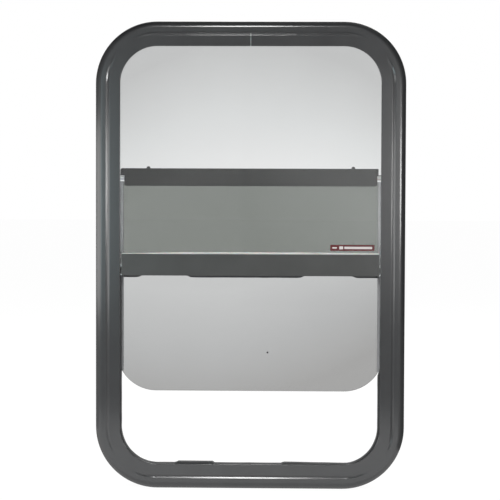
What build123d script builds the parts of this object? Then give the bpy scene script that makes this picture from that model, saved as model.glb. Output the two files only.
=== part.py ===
"""Half-slider caravan window: bent frame, fixed upper pane, and a lower sash that slides up behind it.

X runs to the right and Z up as seen from outside, and Y runs into the caravan. The origin is the middle of
the window in the plane of the wall's outer skin, where the back of the flange seats. Frame profiles are drawn
in u, the distance inward from the edge of the flange, and y, the depth into the wall.
"""

import os

from build123d import *

# Outer frame, one bent extrusion
FRAME_WIDTH = 400.0
FRAME_HEIGHT = 604.0
CORNER_RADIUS = 80.0
FLANGE_REACH = 20.0
LIP_COVER = 10.2
LIP_RISE = 6.5
LIP_THICKNESS = 2.0
LIP_BEVEL = 0.7
SKIN = 1.8
WALL_GRIP = 28.0
JOINT_GAP = 0.8

# Front of the flange: a flat-topped bead and a shallow groove by the lip, hollow behind for sealant
TOE_RISE = 2.4
TOE_LAND = 2.2
HEEL_LAND = 2.4
BEAD_CREST = 5.0
BEAD_PEAK = 6.85
BEAD_ROUND = 10.0
BEAD_SHOULDER = 13.4
BEAD_WIDTH = 15.4
BEAD_HOLLOW = 4.4
GROOVE_RISE = 5.7
GROOVE_HOLLOW = 3.9
STEP_WIDTH = 2.6
STEP_ROUND = 2.0

# Channels on the inside of the frame and the screw race behind them
GLAZING_CHANNEL = 9.0
RUN_CHANNEL = 13.4
FIN_REACH = 7.2
SCREW_GAP = 3.2
BACK_LIP_TOE = 1.7

# Clamp ring on the inner skin, and the plate behind the butt joint
RING_INSET = 7.0
RING_EDGE = 0.9
RING_THICKNESS = 2.2
RING_CROWN = 0.4
PLATE_LENGTH = 60.0
PLATE_WIDTH = 16.0
PLATE_THICKNESS = 1.5

# Panes and their rubbers
GLASS = 4.0
GASKET_BASE = 2.0
GASKET_REACH = 8.2
WIPER_PROUD = 1.0
WIPER_BEVEL = 0.8
WIPER_LIP = 1.4
SILL_THICKNESS = 3.0
SILL_SHORT = 2.0
LINER_BASE = 1.6
LINER_REACH = 6.2

# Meeting rail at the foot of the fixed pane
MEETING_TOP = 2.6
MEETING_HEIGHT = 28.0
MEETING_SKIN = 1.6
MEETING_POCKET = 15.0
MEETING_RECESS = 0.3
MEETING_END_GAP = 1.6
MEETING_EDGE_RADIUS = 0.7
RAIL_GASKET_BASE = 1.5
RAIL_GASKET_RISE = 2.4
PILE_BASE_HEIGHT = 5.0
PILE_BASE_THICKNESS = 1.0
PILE_HEIGHT = 3.0
PILE_ABOVE_FOOT = 0.6

# Sash: how far it stands open, and how far its rail laps over the meeting rail when it is shut
SASH_LIFT = 100.0
SASH_LAP = 10.9
SASH_CORNER_TRIM = 2.5
SASH_RAIL_HEIGHT = 23.0
SASH_RAIL_DEPTH = 9.0
SASH_SKIN = 1.5
SASH_POCKET = 6.0
SASH_END_GAP = 3.8
SASH_EDGE_RADIUS = 1.0
SASH_END_RADIUS = 2.8
STRIP_WALL = 1.7
STRIP_BASE = 1.2
STRIP_REACH = 10.1
STRIP_TAIL = 26.0

# Spring catches: bolt, finger tab and the shoe that guides them
BOLT_DIAMETER = 5.0
BOLT_LENGTH = 48.0
BOLT_TIP_BEVEL = 1.2
BOLT_RIDE = 0.5
CATCH_TRAVEL = 8.0
TAB_INSET = 30.5
TAB_WIDTH = 6.8
TAB_HEIGHT = 21.0
TAB_RISE = 3.6
TAB_THICKNESS = 5.0
TAB_EDGE_BEVEL = 0.8
STEM_DIAMETER = 3.0
SHOE_PLUG = 18.0
SHOE_RADIUS = 3.0

# Clearances
SEAT = 0.1
SLIDE = 0.4
TOUCH = 0.3
PIN_FIT = 0.1
EDGE_PLAY = 0.7
HEAD_PLAY = 0.6

# Depths of the frame's faces
lip_back = LIP_THICKNESS - LIP_RISE
fin_front = lip_back + GLAZING_CHANNEL
fin_back = fin_front + SKIN
back_lip_front = fin_back + RUN_CHANNEL
back_lip_back = back_lip_front + SKIN
fixed_y = (lip_back + fin_front) / 2
sash_y = (fin_back + back_lip_front) / 2

# Distances inward from the flange's edge
web_inner = FLANGE_REACH + SKIN
lip_tip = web_inner + LIP_COVER
fin_tip = web_inner + FIN_REACH
race_inner = web_inner + SCREW_GAP
race_outer = race_inner + SKIN
back_lip_tip = race_outer + BACK_LIP_TOE
fixed_edge = web_inner + SEAT + GASKET_BASE + SEAT
liner_face = web_inner + SEAT + LINER_BASE
strip_edge = liner_face + EDGE_PLAY
strip_tip = strip_edge + STRIP_REACH
sash_edge = strip_edge + STRIP_BASE + SEAT
strip_half = GLASS / 2 + SEAT + STRIP_WALL

# Heights of the rails and the sash
half_width = FRAME_WIDTH / 2
half_height = FRAME_HEIGHT / 2
meeting_foot = MEETING_TOP - MEETING_HEIGHT
meeting_floor = MEETING_TOP - MEETING_POCKET
sill_top = -half_height + web_inner + SEAT + SILL_THICKNESS
sash_foot = sill_top + TOUCH + SASH_LIFT
sash_top = MEETING_TOP + SASH_LAP + SASH_LIFT
sash_rail_foot = sash_top - SASH_RAIL_HEIGHT
sash_pocket_top = sash_rail_foot + SASH_POCKET
chamber_floor = sash_pocket_top + SASH_SKIN
chamber_roof = sash_top - SASH_SKIN

# Depths of the rails
meeting_front = MEETING_RECESS - LIP_RISE
meeting_back = fin_front - SEAT
sash_front = sash_y - GLASS / 2 - SEAT - SASH_SKIN
sash_back = sash_front + SASH_RAIL_DEPTH
sash_leg = sash_y + GLASS / 2 + SEAT

# Ends of the rails and the line of the catch bolts
meeting_end = half_width - lip_tip - MEETING_END_GAP
sash_end = half_width - lip_tip - SASH_END_GAP
liner_x = half_width - liner_face
tab_x = sash_end - TAB_INSET
bolt_y = (sash_front + sash_back) / 2
bolt_z = chamber_floor + BOLT_RIDE + BOLT_DIAMETER / 2


def closed_profile(*corners):
    """Flat face inside a closed run of straight lines."""
    return make_face(Polyline(*corners, close=True))


def side_rectangle(y_low, y_high, z_low, z_high):
    """Rectangle in a section across X, drawn as depth and height."""
    return Pos((y_low + y_high) / 2, (z_low + z_high) / 2) * Rectangle(y_high - y_low, z_high - z_low)


def block(x_span, y_span, z_span):
    """Box between two values on each axis."""
    spans = (x_span, y_span, z_span)
    middle = [(low + high) / 2 for low, high in spans]
    return Pos(*middle) * Box(*[high - low for low, high in spans])


def bend(profile, corners, heading, inward):
    """Bend a profile clockwise along straight runs with the frame's corner radius."""
    path = Plane.XZ * FilletPolyline(*corners, radius=CORNER_RADIUS)
    start_x, start_z = corners[0]
    section = Plane(origin=(start_x, 0, start_z), x_dir=inward, z_dir=heading) * profile
    return sweep(section, path=path)


def bend_ring(profile):
    """Bend a profile all the way round, ending in a butt joint at the top."""
    right, top, stop = half_width, half_height, JOINT_GAP / 2
    corners = [(stop, top), (right, top), (right, -top), (-right, -top), (-right, top), (-stop, top)]
    return bend(profile, corners, heading=(1, 0, 0), inward=(0, 0, -1))


def along_x(profile, half_length):
    """Run a section drawn in depth and height to both sides of the middle."""
    return extrude(Plane.YZ * profile, amount=half_length, both=True)


def round_corners(profile, corners, radius):
    """Round the corners of a flat profile that lie at the given points."""
    chosen = [profile.vertices().sort_by_distance((*corner, 0))[0] for corner in corners]
    return fillet(chosen, radius)


def pane(half_span, z_low, z_high, y_middle, radius, rounded_end, thickness=GLASS):
    """Sheet with two rounded corners at its top or foot, as thick as the glass if nothing else is said."""
    sheet = Pos(0, (z_low + z_high) / 2) * Rectangle(2 * half_span, z_high - z_low)
    ends = sheet.vertices().group_by(Axis.Y)[rounded_end]
    return Pos(0, y_middle, 0) * extrude(Plane.XZ * fillet(ends, radius), amount=thickness / 2, both=True)


def side_channel(outer_u, reach, base, half_outer, half_inner):
    """U section at the right-hand side of the window, open towards the glass, seen from above."""
    floor_x = half_width - outer_u
    return closed_profile(
        (floor_x, sash_y - half_outer),
        (floor_x - reach, sash_y - half_outer),
        (floor_x - reach, sash_y - half_inner),
        (floor_x - base, sash_y - half_inner),
        (floor_x - base, sash_y + half_inner),
        (floor_x - reach, sash_y + half_inner),
        (floor_x - reach, sash_y + half_outer),
        (floor_x, sash_y + half_outer),
    )


def upright(profile, z_low, z_high):
    """Run a section seen from above from one height to another."""
    return Pos(0, 0, z_low) * extrude(profile, amount=z_high - z_low)


def frame_profile():
    """Section of the frame: beaded flange, web, two channels and the screw race."""
    toe, shoulder, groove = (0, -TOE_RISE), (BEAD_SHOULDER, -BEAD_PEAK), (BEAD_WIDTH, -GROOVE_RISE)
    step_top, lip_edge = (BEAD_WIDTH + STEP_WIDTH, -LIP_RISE), (lip_tip - LIP_BEVEL, -LIP_RISE)
    edges = [
        FilletPolyline(toe, (BEAD_CREST, -BEAD_PEAK), shoulder, radius=BEAD_ROUND),
        Line(shoulder, groove),
        FilletPolyline(groove, step_top, lip_edge, radius=STEP_ROUND),
        Polyline(
            lip_edge,
            (lip_tip, LIP_BEVEL - LIP_RISE),
            (lip_tip, lip_back - LIP_BEVEL),
            (lip_tip - LIP_BEVEL, lip_back),
            (web_inner, lip_back),
            (web_inner, fin_front),
            (fin_tip, fin_front),
            (fin_tip, fin_back),
            (web_inner, fin_back),
            (web_inner, back_lip_front),
            (back_lip_tip, back_lip_front),
            (back_lip_tip, back_lip_back),
            (race_outer, back_lip_back),
            (race_outer, WALL_GRIP),
            (race_inner, WALL_GRIP),
            (race_inner, back_lip_back),
            (web_inner, back_lip_back),
            (web_inner, WALL_GRIP),
            (FLANGE_REACH, WALL_GRIP),
            (FLANGE_REACH, 0),
            (FLANGE_REACH - HEEL_LAND, 0),
            (BEAD_WIDTH, -GROOVE_HOLLOW),
            (BEAD_CREST, -BEAD_HOLLOW),
            (TOE_LAND, 0),
            (0, 0),
            toe,
        ),
    ]
    return make_face([edge for line in edges for edge in line.edges()])


def clamp_ring_profile():
    """Section of the clamp ring: flat against the wall, crowned towards the room."""
    room_side = WALL_GRIP + RING_THICKNESS
    outer = (RING_INSET, WALL_GRIP + RING_EDGE)
    crest = ((RING_INSET + race_outer) / 2, room_side + RING_CROWN)
    inner = (race_outer, room_side)
    edges = [
        Line((RING_INSET, WALL_GRIP), outer),
        ThreePointArc(outer, crest, inner),
        Polyline(inner, (race_outer, WALL_GRIP), (RING_INSET, WALL_GRIP)),
    ]
    return make_face([edge for line in edges for edge in line.edges()])


def glazing_gasket():
    """Rubber channel round the sides and top of the fixed pane."""
    front, back = lip_back + SEAT, fin_front - SEAT
    floor, rim = web_inner + SEAT, web_inner + GASKET_REACH
    slot_floor = floor + GASKET_BASE
    slot_half = GLASS / 2 + SEAT
    profile = closed_profile(
        (floor, front),
        (rim, front),
        (rim, fixed_y - slot_half),
        (slot_floor, fixed_y - slot_half),
        (slot_floor, fixed_y + slot_half),
        (rim, fixed_y + slot_half),
        (rim, back),
        (floor, back),
    )
    right, top, foot = half_width, half_height, MEETING_TOP + SEAT
    corners = [(-right, foot), (-right, top), (right, top), (right, foot)]
    return bend(profile, corners, heading=(0, 0, 1), inward=(1, 0, 0))


def wiper_seal():
    """Rubber in the lower half of the glazing channel, with a lip that wipes the edge strips of the sash."""
    front, back = lip_back + SEAT, fin_front - SEAT
    floor, nose = web_inner + SEAT, lip_tip + WIPER_PROUD
    lip_end = sash_y - strip_half - TOUCH
    heel = fin_tip + TOUCH
    profile = closed_profile(
        (floor, front),
        (nose - WIPER_BEVEL, front),
        (nose, front + WIPER_BEVEL),
        (nose, lip_end - WIPER_LIP),
        (nose - WIPER_LIP, lip_end),
        (nose - 2 * WIPER_LIP, lip_end),
        (heel, fin_back + TOUCH),
        (heel, back),
        (floor, back),
    )
    right, low, end = half_width, -half_height, meeting_foot - SEAT
    corners = [(right, end), (right, low), (-right, low), (-right, end)]
    return bend(profile, corners, heading=(0, 0, -1), inward=(-1, 0, 0))


def meeting_rail():
    """Rail with a glazing pocket above a closed box, its ends coped behind the frame's lip."""
    inner_front = meeting_front + MEETING_SKIN
    inner_back = meeting_back - MEETING_SKIN
    outline = closed_profile(
        (meeting_front, meeting_foot),
        (meeting_back, meeting_foot),
        (meeting_back, MEETING_TOP),
        (inner_back, MEETING_TOP),
        (inner_back, meeting_floor),
        (inner_front, meeting_floor),
        (inner_front, MEETING_TOP),
        (meeting_front, MEETING_TOP),
    )
    edges_seen = [(meeting_front, MEETING_TOP), (meeting_front, meeting_foot)]
    outline = round_corners(outline, edges_seen, MEETING_EDGE_RADIUS)
    hollow_low, hollow_high = meeting_foot + MEETING_SKIN, meeting_floor - MEETING_SKIN
    section = outline - side_rectangle(inner_front, inner_back, hollow_low, hollow_high)
    tongue_end = half_width - web_inner - TOUCH
    rail = along_x(section, tongue_end)
    cope_depth = (meeting_front - SEAT, lip_back + SEAT)
    cope_height = (meeting_foot - SEAT, MEETING_TOP + SEAT)
    for ends in ((meeting_end, tongue_end + SEAT), (-tongue_end - SEAT, -meeting_end)):
        rail -= block(ends, cope_depth, cope_height)
    return rail


def rail_gasket():
    """Glazing wedge that beds the foot of the fixed pane in the meeting rail and stands a little above it."""
    front, back = meeting_front + MEETING_SKIN + SEAT, meeting_back - MEETING_SKIN - SEAT
    floor, rim = meeting_floor + SEAT, MEETING_TOP + RAIL_GASKET_RISE
    slot_half = GLASS / 2 + SEAT
    outline = side_rectangle(front, back, floor, rim)
    slot = side_rectangle(fixed_y - slot_half, fixed_y + slot_half, floor + RAIL_GASKET_BASE, rim + SEAT)
    return along_x(outline - slot, meeting_end)


def pile_strip():
    """Brush strip low on the back of the meeting rail, just short of the sash pane."""
    middle = meeting_foot + PILE_ABOVE_FOOT
    base_back = meeting_back + PILE_BASE_THICKNESS
    tip = sash_y - GLASS / 2 - TOUCH
    base_half, pile_half = PILE_BASE_HEIGHT / 2, PILE_HEIGHT / 2
    section = side_rectangle(meeting_back, base_back, middle - base_half, middle + base_half)
    section += side_rectangle(base_back, tip, middle - pile_half, middle + pile_half)
    return along_x(section, half_width - strip_tip - HEAD_PLAY)


def sash_rail():
    """Top rail of the sash: a chamber for the catches over a pocket that grips the pane."""
    inner_front, inner_back = sash_front + SASH_SKIN, sash_back - SASH_SKIN
    leg_back = sash_leg + SASH_SKIN
    outline = closed_profile(
        (sash_front, sash_rail_foot),
        (sash_front, sash_top),
        (sash_back, sash_top),
        (sash_back, sash_pocket_top),
        (leg_back, sash_pocket_top),
        (leg_back, sash_rail_foot),
        (sash_leg, sash_rail_foot),
        (sash_leg, sash_pocket_top),
        (inner_front, sash_pocket_top),
        (inner_front, sash_rail_foot),
    )
    top_edges = [(sash_front, sash_top), (sash_back, sash_top)]
    outline = round_corners(outline, top_edges, SASH_EDGE_RADIUS)
    rail = along_x(outline - side_rectangle(inner_front, inner_back, chamber_floor, chamber_roof), sash_end)
    rail = fillet(rail.edges().filter_by(Axis.Y).group_by(Axis.Z)[0], SASH_END_RADIUS)
    slot_height = STEM_DIAMETER + 2 * TOUCH
    for side in (-1, 1):
        middle = Pos(side * (tab_x - CATCH_TRAVEL / 2), sash_back, bolt_z)
        slot = middle * (Plane.XZ * SlotOverall(CATCH_TRAVEL + slot_height, slot_height))
        rail -= extrude(slot, amount=SASH_SKIN + SEAT, both=True)
    return rail


def edge_strip():
    """Right-hand channel over the side of the sash pane, running a little way round its lower corner."""
    half_span, wall, depth = half_width - sash_edge, STRIP_BASE + SEAT, 2 * strip_half
    outside = pane(half_span + wall, sash_foot - wall, sash_top, sash_y, sash_corner + wall, 0, depth)
    slot = pane(half_span + SEAT, sash_foot - SEAT, sash_top, sash_y, sash_corner + SEAT, 0, GLASS + 2 * SEAT)
    reach = block(
        (half_width - strip_tip, half_width),
        (sash_y - depth, sash_y + depth),
        (sash_foot + sash_corner - STRIP_TAIL, sash_pocket_top),
    )
    return (outside - slot) & reach


def end_shoe():
    """Right-hand shoe: a bored plug in the rail's end, and a head over the bolt that runs in the liner."""
    chamber_front, chamber_back = sash_front + SASH_SKIN, sash_back - SASH_SKIN
    plug = block(
        (sash_end - SHOE_PLUG, sash_end),
        (chamber_front + SEAT, chamber_back - SEAT),
        (chamber_floor + SEAT, chamber_roof - SEAT),
    )
    head_low = bolt_z + BOLT_DIAMETER / 2 + HEAD_PLAY
    head_end = liner_x - SLIDE
    head = block((sash_end, head_end), (sash_y - strip_half, sash_y + strip_half), (head_low, sash_top))
    head = fillet(head.edges().filter_by(Axis.Y).sort_by(Axis.X)[-2:].sort_by(Axis.Z)[-1], SHOE_RADIUS)
    bore = Cylinder(BOLT_DIAMETER / 2 + PIN_FIT, 2 * SHOE_PLUG, rotation=(0, 90, 0))
    return plug + head - Pos(sash_end - SHOE_PLUG / 2, bolt_y, bolt_z) * bore


def catch_bolt():
    """Right-hand bolt with a bevelled tip and a cross hole for the tab's stem."""
    tip = liner_x - SLIDE
    bolt = Cylinder(BOLT_DIAMETER / 2, BOLT_LENGTH, rotation=(0, 90, 0))
    bolt = chamfer(bolt.edges().sort_by(Axis.X)[-1], BOLT_TIP_BEVEL)
    bolt = Pos(tip - BOLT_LENGTH / 2, bolt_y, bolt_z) * bolt
    hole = Cylinder(STEM_DIAMETER / 2 + PIN_FIT, BOLT_DIAMETER, rotation=(90, 0, 0))
    return bolt - Pos(tab_x, bolt_y + BOLT_DIAMETER / 2, bolt_z) * hole


def catch_tab():
    """Right-hand finger tab behind the rail, with a round top that stands above it and a stem to the bolt."""
    front = sash_back + TOUCH
    top = sash_top + TAB_RISE
    middle = Pos(tab_x, front + TAB_THICKNESS / 2, top - TAB_HEIGHT / 2)
    face = middle * (Plane.XZ * SlotOverall(TAB_HEIGHT, TAB_WIDTH, rotation=90))
    tab = extrude(face, amount=TAB_THICKNESS / 2, both=True)
    tab = chamfer(tab.faces().sort_by(Axis.Y)[-1].edges(), TAB_EDGE_BEVEL)
    stem_front = bolt_y + PIN_FIT
    stem = Cylinder(STEM_DIAMETER / 2, front + SEAT - stem_front, rotation=(90, 0, 0))
    return tab + Pos(tab_x, (front + SEAT + stem_front) / 2, bolt_z) * stem


def side_pieces():
    """Right-hand pieces that have a mirror image on the left."""
    straight = half_height - CORNER_RADIUS
    liner_half = RUN_CHANNEL / 2 - SEAT
    liner = side_channel(web_inner + SEAT, LINER_REACH, LINER_BASE, liner_half, strip_half + SLIDE)
    return {
        "run_channel": upright(liner, -straight, straight),
        "edge_strip": edge_strip(),
        "end_shoe": end_shoe(),
        "catch_bolt": catch_bolt(),
        "catch_tab": catch_tab(),
    }


sash_corner = CORNER_RADIUS - sash_edge - SASH_CORNER_TRIM
web_top = half_height - FLANGE_REACH
plate_half, plate_y = PLATE_LENGTH / 2, WALL_GRIP / 2
sill_half = half_width - CORNER_RADIUS - SILL_SHORT
sill_span = (fin_back + SEAT, back_lip_front - SEAT)

nodes = {
    "outer_frame": bend_ring(frame_profile()),
    "clamp_ring": bend_ring(clamp_ring_profile()),
    "joint_plate": block(
        (-plate_half, plate_half),
        (plate_y - PLATE_WIDTH / 2, plate_y + PLATE_WIDTH / 2),
        (web_top, web_top + PLATE_THICKNESS),
    ),
    "fixed_pane": pane(
        half_width - fixed_edge,
        meeting_floor + SEAT + RAIL_GASKET_BASE + SEAT,
        half_height - fixed_edge,
        fixed_y,
        CORNER_RADIUS - fixed_edge,
        rounded_end=-1,
    ),
    "glazing_gasket": glazing_gasket(),
    "wiper_seal": wiper_seal(),
    "sill_strip": block((-sill_half, sill_half), sill_span, (sill_top - SILL_THICKNESS, sill_top)),
    "meeting_rail": meeting_rail(),
    "rail_gasket": rail_gasket(),
    "pile_strip": pile_strip(),
    "sash_pane": pane(
        half_width - sash_edge,
        sash_foot,
        sash_pocket_top - SEAT,
        sash_y,
        sash_corner,
        rounded_end=0,
    ),
    "sash_rail": sash_rail(),
}
for name, piece in side_pieces().items():
    nodes["right_" + name] = piece
    nodes["left_" + name] = mirror(piece, about=Plane.YZ)

os.makedirs("parts", exist_ok=True)
for name, solid in nodes.items():
    export_step(solid, f"parts/{name}.step")
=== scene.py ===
"""Half-slider caravan window, dressed for the studio.

Sizes are millimetres in the frame's axes: X to the right and Z up as seen from outside, Y into the caravan.
Sections of the frame are drawn in u, the distance inward from the flange's edge, and y, the depth.
"""

import logging
import math
import random
from collections.abc import Callable, Mapping, Sequence
from dataclasses import dataclass, field, replace
from enum import Enum
from typing import Self

import bmesh
import bpy
from mathutils import Matrix, Vector, noise


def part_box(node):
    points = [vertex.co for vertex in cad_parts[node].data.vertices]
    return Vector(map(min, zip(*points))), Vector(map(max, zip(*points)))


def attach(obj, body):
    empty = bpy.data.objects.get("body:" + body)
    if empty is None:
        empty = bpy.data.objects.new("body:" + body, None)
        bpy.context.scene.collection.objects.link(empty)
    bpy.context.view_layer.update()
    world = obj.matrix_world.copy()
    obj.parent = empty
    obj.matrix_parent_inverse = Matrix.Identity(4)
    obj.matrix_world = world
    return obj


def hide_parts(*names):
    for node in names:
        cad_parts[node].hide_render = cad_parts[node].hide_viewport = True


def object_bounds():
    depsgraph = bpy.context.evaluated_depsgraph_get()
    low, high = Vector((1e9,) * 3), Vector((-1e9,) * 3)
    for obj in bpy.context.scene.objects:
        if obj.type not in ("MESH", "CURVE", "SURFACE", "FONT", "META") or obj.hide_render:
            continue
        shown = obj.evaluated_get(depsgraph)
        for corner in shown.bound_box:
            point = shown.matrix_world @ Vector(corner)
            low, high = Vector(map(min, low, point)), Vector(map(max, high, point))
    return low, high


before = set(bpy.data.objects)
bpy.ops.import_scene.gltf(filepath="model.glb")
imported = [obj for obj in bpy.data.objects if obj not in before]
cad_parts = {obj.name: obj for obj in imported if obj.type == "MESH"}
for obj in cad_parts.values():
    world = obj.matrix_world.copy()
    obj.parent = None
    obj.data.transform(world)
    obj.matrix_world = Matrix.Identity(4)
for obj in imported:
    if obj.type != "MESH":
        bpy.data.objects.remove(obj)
CAD_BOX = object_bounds()

MM = 0.001
TINY = 1e-6
IMAGE_PIXELS = 500
LOG = logging.getLogger("caravan_window")

# Edges of a piece that turn more than this stay sharp
SHARP_DEG = 32.0
# The most of a side that the arc at one of its ends may take
ARC_SHARE = 0.49
# The width of the butt joint, and how far in from the flange's edge the lip ends
JOINT_GAP = 0.8
LIP_TIP = 32.0
# Turns the Z axis of a turned piece into the caravan
INTO_ROOM = Matrix.Rotation(-math.pi / 2, 4, "X")
# A mix node's colour sockets go by number, because its other sockets share their names
MIX_FIRST, MIX_SECOND, MIX_RESULT = 6, 7, 2

Socket = bpy.types.NodeSocket
Tree = bpy.types.NodeTree
Node = bpy.types.Node
Colour = tuple[float, float, float, float]
Pair = tuple[float, float]
Triple = tuple[float, float, float]


class Body(Enum):
    """Bodies of the frame that a piece can ride on."""

    FRAME = "frame"
    SASH = "sash"
    LEFT_CATCH = "left_catch"
    RIGHT_CATCH = "right_catch"


class Slot(Enum):
    """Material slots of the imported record."""

    COATED = "coated_aluminium"
    BARE = "bare_aluminium"
    GLASS = "tinted_glass"
    RUBBER = "black_rubber"
    PILE = "grey_pile"
    BLACK_NYLON = "black_nylon"


class Hand(Enum):
    """The two sides of the window, as seen from outside."""

    LEFT = "left"
    RIGHT = "right"

    def own(self, thing: str) -> str:
        """Return the name of this side's one of a pair."""
        return f"{self.value}_{thing}"


def linear(hex_colour: str) -> Colour:
    """Turn an sRGB hex colour into linear light.

    Args:
        hex_colour: a hash and six hex digits.

    Returns:
        Red, green, blue and full alpha.
    """
    shades = [int(hex_colour[k : k + 2], 16) / 255 for k in (1, 3, 5)]
    red, green, blue = [s / 12.92 if s <= 0.04045 else ((s + 0.055) / 1.055) ** 2.4 for s in shades]
    return (red, green, blue, 1.0)


def per_metre(size_mm: float) -> float:
    """Return the texture scale that gives patches of about a size in millimetres."""
    return 1.0 / (size_mm * MM)


def clamp(share: float) -> float:
    """Keep a share between 0 and 1."""
    return max(0.0, min(1.0, share))


def ease(share: float) -> float:
    """Keep a share between 0 and 1, with a gentle start and end."""
    part = clamp(share)
    return part * part * (3 - 2 * part)


def within(place: float, start: float, stop: float, blend: float) -> float:
    """Return 1 inside a stretch and 0 outside it, eased over a blend about both ends."""
    return ease(min(place - start, stop - place) / blend + 0.5)


def waver(place: float, wave_mm: float, row: float) -> float:
    """Return a value between -1 and 1 that wanders along a line; the row tells one line from another."""
    return noise.noise(Vector((place / wave_mm, row, 0.0)))


def angles(count: int) -> list[float]:
    """Return angles evenly spaced round a circle."""
    return [math.tau * k / count for k in range(count)]


def spaced(start: float, stop: float, steps: int) -> list[float]:
    """Return evenly spaced places from a start to a stop, both included."""
    return [start + (stop - start) * k / steps for k in range(steps + 1)]


def add_node(
    tree: Tree,
    kind: str,
    settings: Mapping[str | int, object] | None = None,
    links: Mapping[str | int, Socket] | None = None,
) -> Node:
    """Add a node with its settings and links.

    Args:
        tree: node tree that takes the node.
        kind: type of the node.
        settings: values of input sockets, by name or number, or of the node's own properties.
        links: output sockets that feed the node's inputs, by name or number.

    Returns:
        The new node.
    """
    node = tree.nodes.new(kind)
    for key, value in (settings or {}).items():
        if isinstance(key, int) or key in node.inputs:
            node.inputs[key].default_value = value
        else:
            setattr(node, key, value)
    for key, output in (links or {}).items():
        tree.links.new(output, node.inputs[key])
    return node


@dataclass(frozen=True)
class Paintwork:
    """A material in the making: its node tree, its shader, and the coordinates that patterns follow."""

    tree: Tree
    shader: Node
    coords: Socket

    def feed(self, socket: str, output: Socket) -> None:
        """Let an output drive one of the shader's sockets."""
        self.tree.links.new(output, self.shader.inputs[socket])

    def mottle(self, size_mm: float, hues: tuple[str, str]) -> None:
        """Let the base colour drift between two hues.

        Args:
            size_mm: size of a patch.
            hues: the two hex colours.
        """
        patch = {"Scale": per_metre(size_mm), "Detail": 4.0}
        patches = add_node(self.tree, "ShaderNodeTexNoise", patch, {"Vector": self.coords})
        middle = {"From Min": 0.35, "From Max": 0.65}
        spread = add_node(self.tree, "ShaderNodeMapRange", middle, {"Value": patches.outputs[0]})
        ends = {"data_type": "RGBA", MIX_FIRST: linear(hues[0]), MIX_SECOND: linear(hues[1])}
        mix = add_node(self.tree, "ShaderNodeMix", ends, {0: spread.outputs[0]})
        self.feed("Base Color", mix.outputs[MIX_RESULT])

    def vary_gloss(self, size_mm: float, gloss: Pair) -> None:
        """Let the roughness drift between two values.

        Args:
            size_mm: size of a patch.
            gloss: the two values.
        """
        patch = {"Scale": per_metre(size_mm), "Detail": 5.0}
        patches = add_node(self.tree, "ShaderNodeTexNoise", patch, {"Vector": self.coords})
        ends = {"From Min": 0.3, "From Max": 0.7, "To Min": gloss[0], "To Max": gloss[1]}
        spread = add_node(self.tree, "ShaderNodeMapRange", ends, {"Value": patches.outputs[0]})
        self.feed("Roughness", spread.outputs[0])

    def grain(self, size_mm: float, depth_mm: float) -> None:
        """Raise a fine grain on the surface.

        Args:
            size_mm: size of a grain.
            depth_mm: height of a grain.
        """
        grit = {"Scale": per_metre(size_mm), "Detail": 2.0}
        grains = add_node(self.tree, "ShaderNodeTexNoise", grit, {"Vector": self.coords})
        relief = {"Strength": 1.0, "Distance": depth_mm * MM}
        bump = add_node(self.tree, "ShaderNodeBump", relief, {"Height": grains.outputs[0]})
        self.feed("Normal", bump.outputs[0])


@dataclass(frozen=True)
class Finish:
    """A surface as the eye meets it: what it is made of and how it was made."""

    name: str

    def material(self) -> bpy.types.Material:
        """Find the finish's material, or paint it on first use.

        Returns:
            The material.
        """
        made = bpy.data.materials.get(self.name)
        if made is None:
            made = bpy.data.materials.new(self.name)
            made.use_nodes = True
            tree = made.node_tree
            shader = tree.nodes["Principled BSDF"]
            for socket, value in self.sockets().items():
                shader.inputs[socket].default_value = value
            self.paint(Paintwork(tree, shader, add_node(tree, "ShaderNodeTexCoord").outputs["Object"]))
        return made

    def sockets(self) -> dict[str, float]:
        """Return what is the same all over the surface, by socket of the shader."""
        return {}

    def paint(self, work: Paintwork) -> None:
        """Add the patterns that feed the shader."""
        raise NotImplementedError


@dataclass(frozen=True)
class SolidFinish(Finish):
    """A surface that hides what lies under it: a drifting colour, perhaps a drifting gloss and a grain."""

    hues: tuple[str, str]
    patch_mm: float
    gloss: Pair | None = None
    gloss_patch_mm: float | None = None
    grain_mm: float | None = None
    grain_depth_mm: float | None = None

    def paint(self, work: Paintwork) -> None:
        """Add the drift of the colour, and of the gloss and the grain where the finish has them.

        Args:
            work: the material in the making.
        """
        work.mottle(self.patch_mm, self.hues)
        if self.gloss:
            work.vary_gloss(self.gloss_patch_mm, self.gloss)
        if self.grain_mm:
            work.grain(self.grain_mm, self.grain_depth_mm)


@dataclass(frozen=True)
class PowderCoat(SolidFinish):
    """Polyester powder baked on aluminium: satin, with a faint orange peel that softens highlights."""

    patch_mm: float = 55.0
    gloss: Pair = (0.30, 0.38)
    gloss_patch_mm: float = 55.0 / 3
    # Real orange peel is about 0.8 mm across; drawn coarser so that it shows
    grain_mm: float = 2.2
    grain_depth_mm: float = 0.003
    # A clear skin over the pigment, which draws thin bright lines along the rounded edges
    clear: float = 0.0
    clear_roughness: float = 0.15

    def sockets(self) -> dict[str, float]:
        """Return the clear skin's values."""
        return {"Coat Weight": self.clear, "Coat Roughness": self.clear_roughness}


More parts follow.
